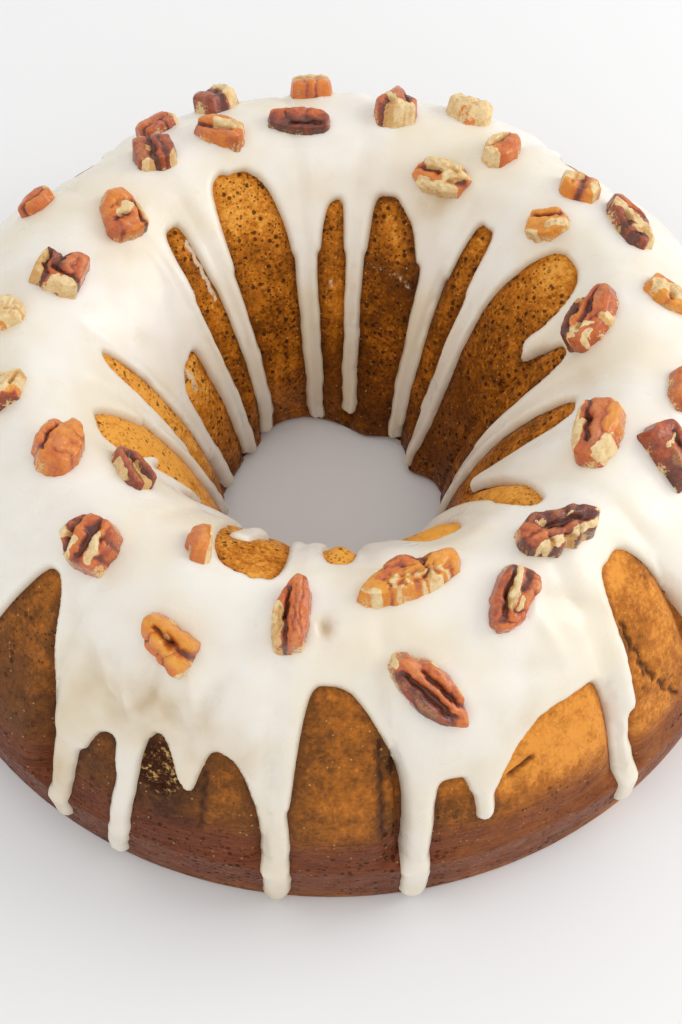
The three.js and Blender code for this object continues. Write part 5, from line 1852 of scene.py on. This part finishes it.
    Pecan(36, 168, 21, 130, 14, 10, Skin.ORANGE, SLAB, SPLIT),
    Pecan(37, 355, 25, 75, 19, 11, Skin.ORANGE, HALF, CURLED, True),
    Pecan(38, 16, 27, -30, 15, 11, Skin.GOLDEN, WEDGE, CRUMBLED),
    Pecan(39, 340, 29, 20, 14, 10, Skin.SALMON, CHUNK, SPLIT),
    Pecan(40, 8.5, 36, 80, 17, 11, Skin.RED, SLAB, CURLED, True),
    Pecan(41, 191, 36, 85, 15, 11, Skin.ORANGE, WEDGE, SPLIT),
    Pecan(42, 170.6, 36.0, 8, 16.5, 10.5, Skin.SALMON, HALF, RIDGED, True),
)


@dataclass(frozen=True)
class PecanFinish:
    """Roasted pecan: glossy skin from gold to umber, dull cream where it is broken, with painted shade in
    its grooves and hollows and painted highlights on its raised parts.
    """

    skin: Stops = (
        (0.0, (0.79, 0.33, 0.022)), (0.3, (0.71, 0.205, 0.014)), (0.55, (0.58, 0.120, 0.020)),
        (0.78, (0.32, 0.052, 0.013)), (1.0, (0.11, 0.024, 0.012)),
    )
    cream: Colour = (0.85, 0.66, 0.36)
    tan: Colour = (0.66, 0.38, 0.13)
    fibre_and_shade: Colour = (0.50, 0.20, 0.05)
    ridge_highlight: Colour = (0.88, 0.42, 0.12)
    dark: Colour = (0.125, 0.024, 0.006)
    skin_roughness: float = 0.26
    flesh_roughness: float = 0.35
    specular: float = 0.42
    oil: float = 0.45
    oil_roughness: float = 0.16
    cloud_share: float = 0.75
    fibre_share: float = 0.5
    groove_shade_share: float = 0.85

    def material(self) -> bpy.types.Material:
        """The material, read from the marks "flesh", "groove", "tone" and "hollow"."""
        d = Dressing("pecan")
        flesh, groove, tone, hollow = (d.mark(n) for n in ("flesh", "groove", "tone", "hollow"))
        cloud = d.noise(2.6, 4, 0.7)
        fibre = d.noise(0.8, 3, 0.7)
        speck = d.noise(0.40, 2, 0.6)
        # Painted shade: the skin is read further down its ramp in hollows and grooves.
        deep = hollow.between(0.50, 0.95) * 0.35 + groove * 0.3
        shade = tone + deep + (cloud - 0.5) * self.cloud_share + (fibre - 0.5) * self.fibre_share
        skin = d.ramp(shade.clipped(), self.skin)
        # Painted shade: grooves and hollows are mixed towards a dark colour, with fibre streaks.
        groove_shade = groove * 0.75 + hollow.between(0.6, 1.0) * 0.25 + (fibre - 0.5) * self.fibre_share
        skin = d.mix(groove_shade.clipped() * self.groove_shade_share, skin, self.dark)
        # Painted highlight: raised parts and scattered specks are mixed towards a bright orange.
        highlight_share = (hollow.between(0.45, 0.10) * 0.35 + (speck - 0.6) * 1.0).clipped()
        skin = d.mix(highlight_share, skin, self.ridge_highlight)
        # The flesh is tan in cloudy patches and, as painted shade, in hollows; in grooves it is darker still
        # as painted shade, with fibre streaks.
        tan_and_shade = (cloud.between(0.42, 0.70) * 0.8 + hollow.between(0.45, 0.72) * 0.8).clipped()
        inside = d.mix(tan_and_shade, self.cream, self.tan)
        inside = d.mix((groove * 0.7 + (fibre - 0.56) * 3.0).clipped(), inside, self.fibre_and_shade)
        edge = (flesh + (fibre - 0.5) * 1.3 + (cloud - 0.5) * 0.6).between(0.46, 0.62)
        colour = d.mix(edge, skin, inside)
        normal = d.bump(((fibre, 0.22), (speck, 0.09)))
        roughness = self.skin_roughness + edge * self.flesh_roughness + (cloud - 0.5) * 0.4
        return d.finish(Base_Color=colour, Roughness=roughness.clipped(), Normal=normal,
                        Specular_IOR_Level=self.specular, Coat_Weight=(self.oil - edge * self.oil).clipped(),
                        Coat_Roughness=self.oil_roughness)


@dataclass
class Pecans:
    """The pecan pieces strewn over the icing: one mesh of halves and one of broken bits."""

    finish: PecanFinish = PecanFinish()
    seat_lift: float = 2.7
    flute_share: float = 0.45
    seat_share: float = 0.17
    height_share: float = 0.29
    sink: float = 0.9
    collar_height: float = 0.45
    collar_width: float = 0.22
    wander: float = 0.15
    broad_relief: float = 0.5
    fine_relief: float = 0.26
    skin_relief: float = 0.08
    flesh_relief: float = 0.36
    settle: float = 0.3
    groove_gain: float = 1.6
    flank_calm: float = 0.6
    ragged: float = 0.42
    grain: Grain = field(default_factory=lambda: Grain(23))

    HALF_CUTS = 25
    BIT_CUTS = 22
    NEAR_TURN = 20
    RIM_STEPS = 361
    HALF_END = 0.8
    PIECE_END = 0.55
    UPPER = 0.70
    FULLNESS = 0.74
    CORNER = 21

    def collar(self, azimuth: Array, reach: Array) -> Array:
        """Height of the little wall that the icing makes round each piece."""
        result = np.zeros(len(reach))
        for nut in PECANS:
            near = np.abs(turn(azimuth, nut.azimuth)) < self.NEAR_TURN
            near &= np.abs(reach - nut.reach) < nut.length
            x, y = self._local(nut, azimuth[near], reach[near])
            away = np.hypot(x / (nut.length / 2), y / (nut.width / 2))
            wall = self.collar_height * bell(away - 1.0, self.collar_width)
            result[near] = np.maximum(result[near], wall)
        return result

    def _local(self, nut: Pecan, azimuth: Array, reach: Array) -> tuple[Array, Array]:
        """Places over the surface in a nut's own frame, from the middle of its length."""
        a = np.radians(turn(azimuth, nut.azimuth)) * float(SURFACE.radius(nut.reach))
        b = reach - nut.reach
        heading = math.radians(nut.heading)
        x = a * math.cos(heading) + b * math.sin(heading)
        y = a * math.sin(heading) - b * math.cos(heading)
        return x - self._middle(nut), y

    def _middle(self, nut: Pecan) -> float:
        """How far the middle of a nut's length lies from its seat."""
        end = self.HALF_END if nut.half else self.PIECE_END
        return -nut.length / 2 * (1 - end) / (1 + end)

    def build(self) -> list[bpy.types.Object]:
        """Both meshes, replacing the solid pieces."""
        halves = [nut for nut in PECANS if nut.half]
        bits = [nut for nut in PECANS if not nut.half]
        material = self.finish.material()
        pieces = [self._mesh("pecan_halves", halves, self.HALF_CUTS),
                  self._mesh("pecan_bits", bits, self.BIT_CUTS)]
        for piece, nuts in zip(pieces, (halves, bits)):
            piece.data.materials.append(material)
            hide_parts(*(f"pecan_{nut.number:02d}" for nut in nuts))
            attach(piece, BODY)
        return pieces

    def _mesh(self, name: str, nuts: Sequence[Pecan], cuts: int) -> bpy.types.Object:
        """One mesh of several nuts.

        Args:
            name: the piece's name.
            nuts: the nuts in it.
            cuts: how finely each is divided.

        Returns:
            The object, undressed.
        """
        ball = bmesh.new()
        bmesh.ops.create_cube(ball, size=2.0)
        bmesh.ops.subdivide_edges(ball, edges=ball.edges[:], cuts=cuts, use_grid_fill=True)
        corners = np.array([v.co[:] for v in ball.verts])
        sphere = corners / np.linalg.norm(corners, axis=1, keepdims=True)
        one = bpy.data.meshes.new(name + "_one")
        ball.to_mesh(one)
        ball.free()
        bm = bmesh.new()
        for _ in nuts:
            bm.from_mesh(one)
        bpy.data.meshes.remove(one)
        places, marks = [], {"flesh": [], "groove": [], "tone": [], "hollow": []}
        for nut in nuts:
            kernel, looks = self._kernel(nut, sphere)
            places.append(self._set_down(nut, kernel, sphere))
            for mark, values in looks.items():
                marks[mark].append(values)
        for vertex, place in zip(bm.verts, np.concatenate(places) * MM):
            vertex.co = place
        return as_object(name, bm, {mark: np.concatenate(v) for mark, v in marks.items()})

    def _kernel(self, nut: Pecan, sphere: Array) -> tuple[Array, dict[str, Array]]:
        """Shapes one kernel in its own frame.

        Args:
            nut: the piece.
            sphere: directions of the vertices.

        Returns:
            Places from the middle of its length, and the marks that its finish reads.
        """
        half_length, half_width = nut.length / 2, nut.width / 2
        height = nut.width * self.height_share
        seed = np.array([nut.number * 17.3, nut.number * 5.1, 0.0])
        bearing = np.arctan2(sphere[:, 1], sphere[:, 0])
        polar = np.arccos(np.clip(sphere[:, 2], -1, 1)) / np.pi
        upper = polar < self.UPPER
        lower_share = (polar - self.UPPER) / (1 - self.UPPER)
        lean = np.pi / 2 * np.where(upper, polar / self.UPPER, 1 + lower_share)
        spread = np.sin(lean).clip(0) ** self.FULLNESS
        rise = np.sign(np.cos(lean)) * np.abs(np.cos(lean)) ** self.FULLNESS
        ray = np.stack([np.cos(bearing), np.sin(bearing)], axis=1)
        plan = (self._rim(nut.outline, bearing) * spread)[:, None] * ray
        places = np.stack([plan[:, 0] * half_length, plan[:, 1] * half_width, rise * height], axis=1)
        lift, flesh, dark = (np.zeros(len(plan)) for _ in range(3))
        tone = np.full(len(plan), nut.skin.value)
        shifts = [self.grain.layered(places + sign * seed, 3.0, 2) for sign in (1, -1)]
        scale = np.array([half_length / half_width, 1.0])
        drawn = (plan + self.wander * np.stack(shifts, axis=1)) * scale
        for stroke in nut.strokes:
            away = line_distance(drawn, np.array(stroke.start) * scale, np.array(stroke.end) * scale)
            share = bell(away, stroke.width)
            lift += stroke.rise * bell(away, stroke.width * (1.5 if stroke.rise < 0 else 1.0))
            flesh = np.maximum(flesh, stroke.flesh * smoothstep(share, 0.15, 0.5))
            dark = np.maximum(dark, stroke.dark * smoothstep(share, 0.30, 0.95))
            tone += stroke.tone * smoothstep(share, 0.1, 0.7)
        broad = self.grain.layered(places + seed, 6.0, 2)
        fine = self.grain.layered(places * (0.6, 1, 1) + seed, 1.7, 2)
        flank = smoothstep(spread, 0.86, 0.99)
        chipped = flank * (0.42 + 0.5 * self.grain.at(places + 2 * seed, 4.0))
        flesh = np.maximum(flesh, chipped * (1 - dark))
        crumbs = self.grain.layered(places - seed, 1.3, 2)
        relief = self.broad_relief * broad + self.fine_relief * fine
        relief = relief + (self.skin_relief + self.flesh_relief * flesh) * crumbs - self.settle
        drawn_relief = self.groove_gain * np.minimum(lift, 0) + np.maximum(lift, 0)
        relief = relief + drawn_relief * (1 - self.flank_calm * flank)
        # High in low places and low on raised ones; the finish paints shade into the low places and
        # highlights onto the raised ones.
        hollow = 0.5 - (1.4 * lift + 0.3 * broad + 0.4 * fine + 0.5 * flesh * crumbs) / 2.6
        up = np.clip(rise + 0.3, 0, 1)
        ragged = self.ragged * self.grain.layered(places * (1, 1, 0.3) + seed, 2.4, 2) * flank
        places = places + (sphere * (0.5, 0.5, 1.0)) * (relief * up)[:, None]
        outward = plan / np.maximum(np.linalg.norm(plan, axis=1, keepdims=True), 1e-6)
        places[:, :2] += outward * ragged[:, None]
        tone = tone + 0.10 * broad + 0.10 * flank
        marks = {"flesh": flesh, "groove": dark - 0.3 * np.maximum(fine, 0), "tone": tone, "hollow": hollow}
        return places, {mark: np.clip(values, 0, 1) for mark, values in marks.items()}

    def _rim(self, outline: tuple[Point, ...], bearing: Array) -> Array:
        """Distance of an outline from its middle in each direction, its corners a little rounded."""
        grid = np.linspace(-np.pi, np.pi, self.RIM_STEPS)
        ray = np.stack([np.cos(grid), np.sin(grid)], axis=1)
        corners = np.array(outline)
        best = np.full(len(grid), np.inf)
        for a, b in zip(corners, np.roll(corners, -1, axis=0)):
            side = b - a
            cross = ray[:, 0] * side[1] - ray[:, 1] * side[0]
            cross = np.where(np.abs(cross) < TINY, TINY, cross)
            far = (a[0] * side[1] - a[1] * side[0]) / cross
            share = (a[0] * ray[:, 1] - a[1] * ray[:, 0]) / cross
            hit = (far > 0) & (share >= -1e-6) & (share <= 1 + 1e-6)
            best = np.where(hit, np.minimum(best, far), best)
        kernel = np.hanning(self.CORNER)
        wrapped = np.concatenate([best[-self.CORNER:-1], best, best[1:self.CORNER]])
        smooth = np.convolve(wrapped, kernel / kernel.sum(), "same")[self.CORNER - 1:1 - self.CORNER]
        return np.interp(bearing, grid, smooth)

    def _set_down(self, nut: Pecan, kernel: Array, sphere: Array) -> Array:
        """Lays a kernel on the icing, its underside a little way into it."""
        azimuth, reach = np.array([[nut.azimuth], [nut.reach]], dtype=float)
        seat = SURFACE.place(azimuth, reach, self.seat_lift, self.flute_share)[0]
        out, rise = (float(part) for part in SURFACE.normal(np.array(nut.reach)))
        angle = math.radians(nut.azimuth)
        around = np.array([-math.sin(angle), math.cos(angle), 0.0])
        up = np.array([out * math.cos(angle), out * math.sin(angle), rise])
        outward = np.cross(around, up)
        x, y = kernel[:, 0] + self._middle(nut), kernel[:, 1]
        heading = math.radians(nut.heading)
        a = x * math.cos(heading) + y * math.sin(heading)
        b = x * math.sin(heading) - y * math.cos(heading)
        radius = float(SURFACE.radius(nut.reach))
        azimuth, reach = nut.azimuth + np.degrees(a / radius), nut.reach + b
        below = SURFACE.place(azimuth, reach, self.seat_lift, self.flute_share)
        bed = (below - seat) @ up - self.sink
        weight = smoothstep(-sphere[:, 2], -0.1, 0.45)
        height = lerp(kernel[:, 2] + nut.width * self.seat_share, bed, weight)
        return seat + a[:, None] * around + b[:, None] * outward + height[:, None] * up


# ---------------------------------------------------------------- the studio

@dataclass(frozen=True)
class Lamp:
    """A square soft light that points at the cake, in metres and watts."""

    name: str
    place: tuple[float, float, float]
    size: float
    watts: float


@dataclass
class Studio:
    """Plain pale floor, soft light and the camera, in metres."""

    floor_size: float = 6.0
    floor_colour: Colour = (0.86, 0.86, 0.86)
    floor_roughness: float = 0.6
    lamps: tuple[Lamp, ...] = (
        Lamp("key", (0.80, 0.10, 0.46), 0.55, 3.3), Lamp("fill", (-0.2, -0.9, 0.6), 0.9, 0.9),
    )
    elevation: float = 55.75
    distance: float = 0.53406
    aim_height: float = 0.00044
    side_step: float = 0.00216
    roll: float = -0.4
    lens: float = 64.76
    sensor: float = 36.0
    clip_start: float = 0.01
    sky: float = 0.90

    def build(self) -> None:
        """Makes the floor, the lights and the camera."""
        self._floor()
        for lamp in self.lamps:
            self._light(lamp)
        self._camera()
        world = bpy.data.worlds.new("studio")
        world.use_nodes = True
        background = world.node_tree.nodes["Background"]
        background.inputs["Color"].default_value = (1.0, 1.0, 1.0, 1)
        background.inputs["Strength"].default_value = self.sky
        bpy.context.scene.world = world
        bpy.context.scene.view_settings.view_transform = "Standard"

    def _floor(self) -> None:
        """A plain pale floor under the cake."""
        bm = bmesh.new()
        bmesh.ops.create_grid(bm, x_segments=4, y_segments=4, size=self.floor_size / 2)
        floor = as_object("floor", bm, {})
        d = Dressing("floor")
        floor.data.materials.append(d.finish(Base_Color=self.floor_colour, Roughness=self.floor_roughness))

    @staticmethod
    def _light(lamp: Lamp) -> None:
        """Hangs a lamp."""
        data = bpy.data.lights.new(lamp.name, "AREA")
        data.shape = "SQUARE"
        data.size = lamp.size
        data.energy = lamp.watts
        light = bpy.data.objects.new(lamp.name, data)
        light.location = lamp.place
        light.rotation_euler = (-Vector(lamp.place)).to_track_quat("-Z", "Y").to_euler()
        bpy.context.scene.collection.objects.link(light)

    def _camera(self) -> None:
        """The camera, looking down at the front of the cake."""
        lens = bpy.data.cameras.new("camera")
        lens.lens = self.lens
        lens.sensor_width = self.sensor
        lens.clip_start = self.clip_start
        camera = bpy.data.objects.new("camera", lens)
        down = math.radians(self.elevation)
        place = Vector((self.side_step, -self.distance * math.cos(down),
                        self.aim_height + self.distance * math.sin(down)))
        tilt = Matrix.Rotation(math.pi / 2 - down, 4, "X")
        roll = Matrix.Rotation(math.radians(self.roll), 4, "Z")
        camera.matrix_world = Matrix.Translation(place) @ (tilt @ roll)
        bpy.context.scene.collection.objects.link(camera)
        bpy.context.scene.camera = camera


def main() -> None:
    """Builds the cake from the inside out, then the studio, and reports each piece."""
    logging.basicConfig(level=logging.INFO, format="%(message)s")
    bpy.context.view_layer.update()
    Studio().build()
    pecans = Pecans()
    icing = Icing(pecans)
    pieces = [Crust(icing).build(), icing.build(), *pecans.build()]
    for piece in pieces:
        piece.data.calc_loop_triangles()
        LOG.info("%s: %d triangles", piece.name, len(piece.data.loop_triangles))


if __name__ == "__main__":
    main()
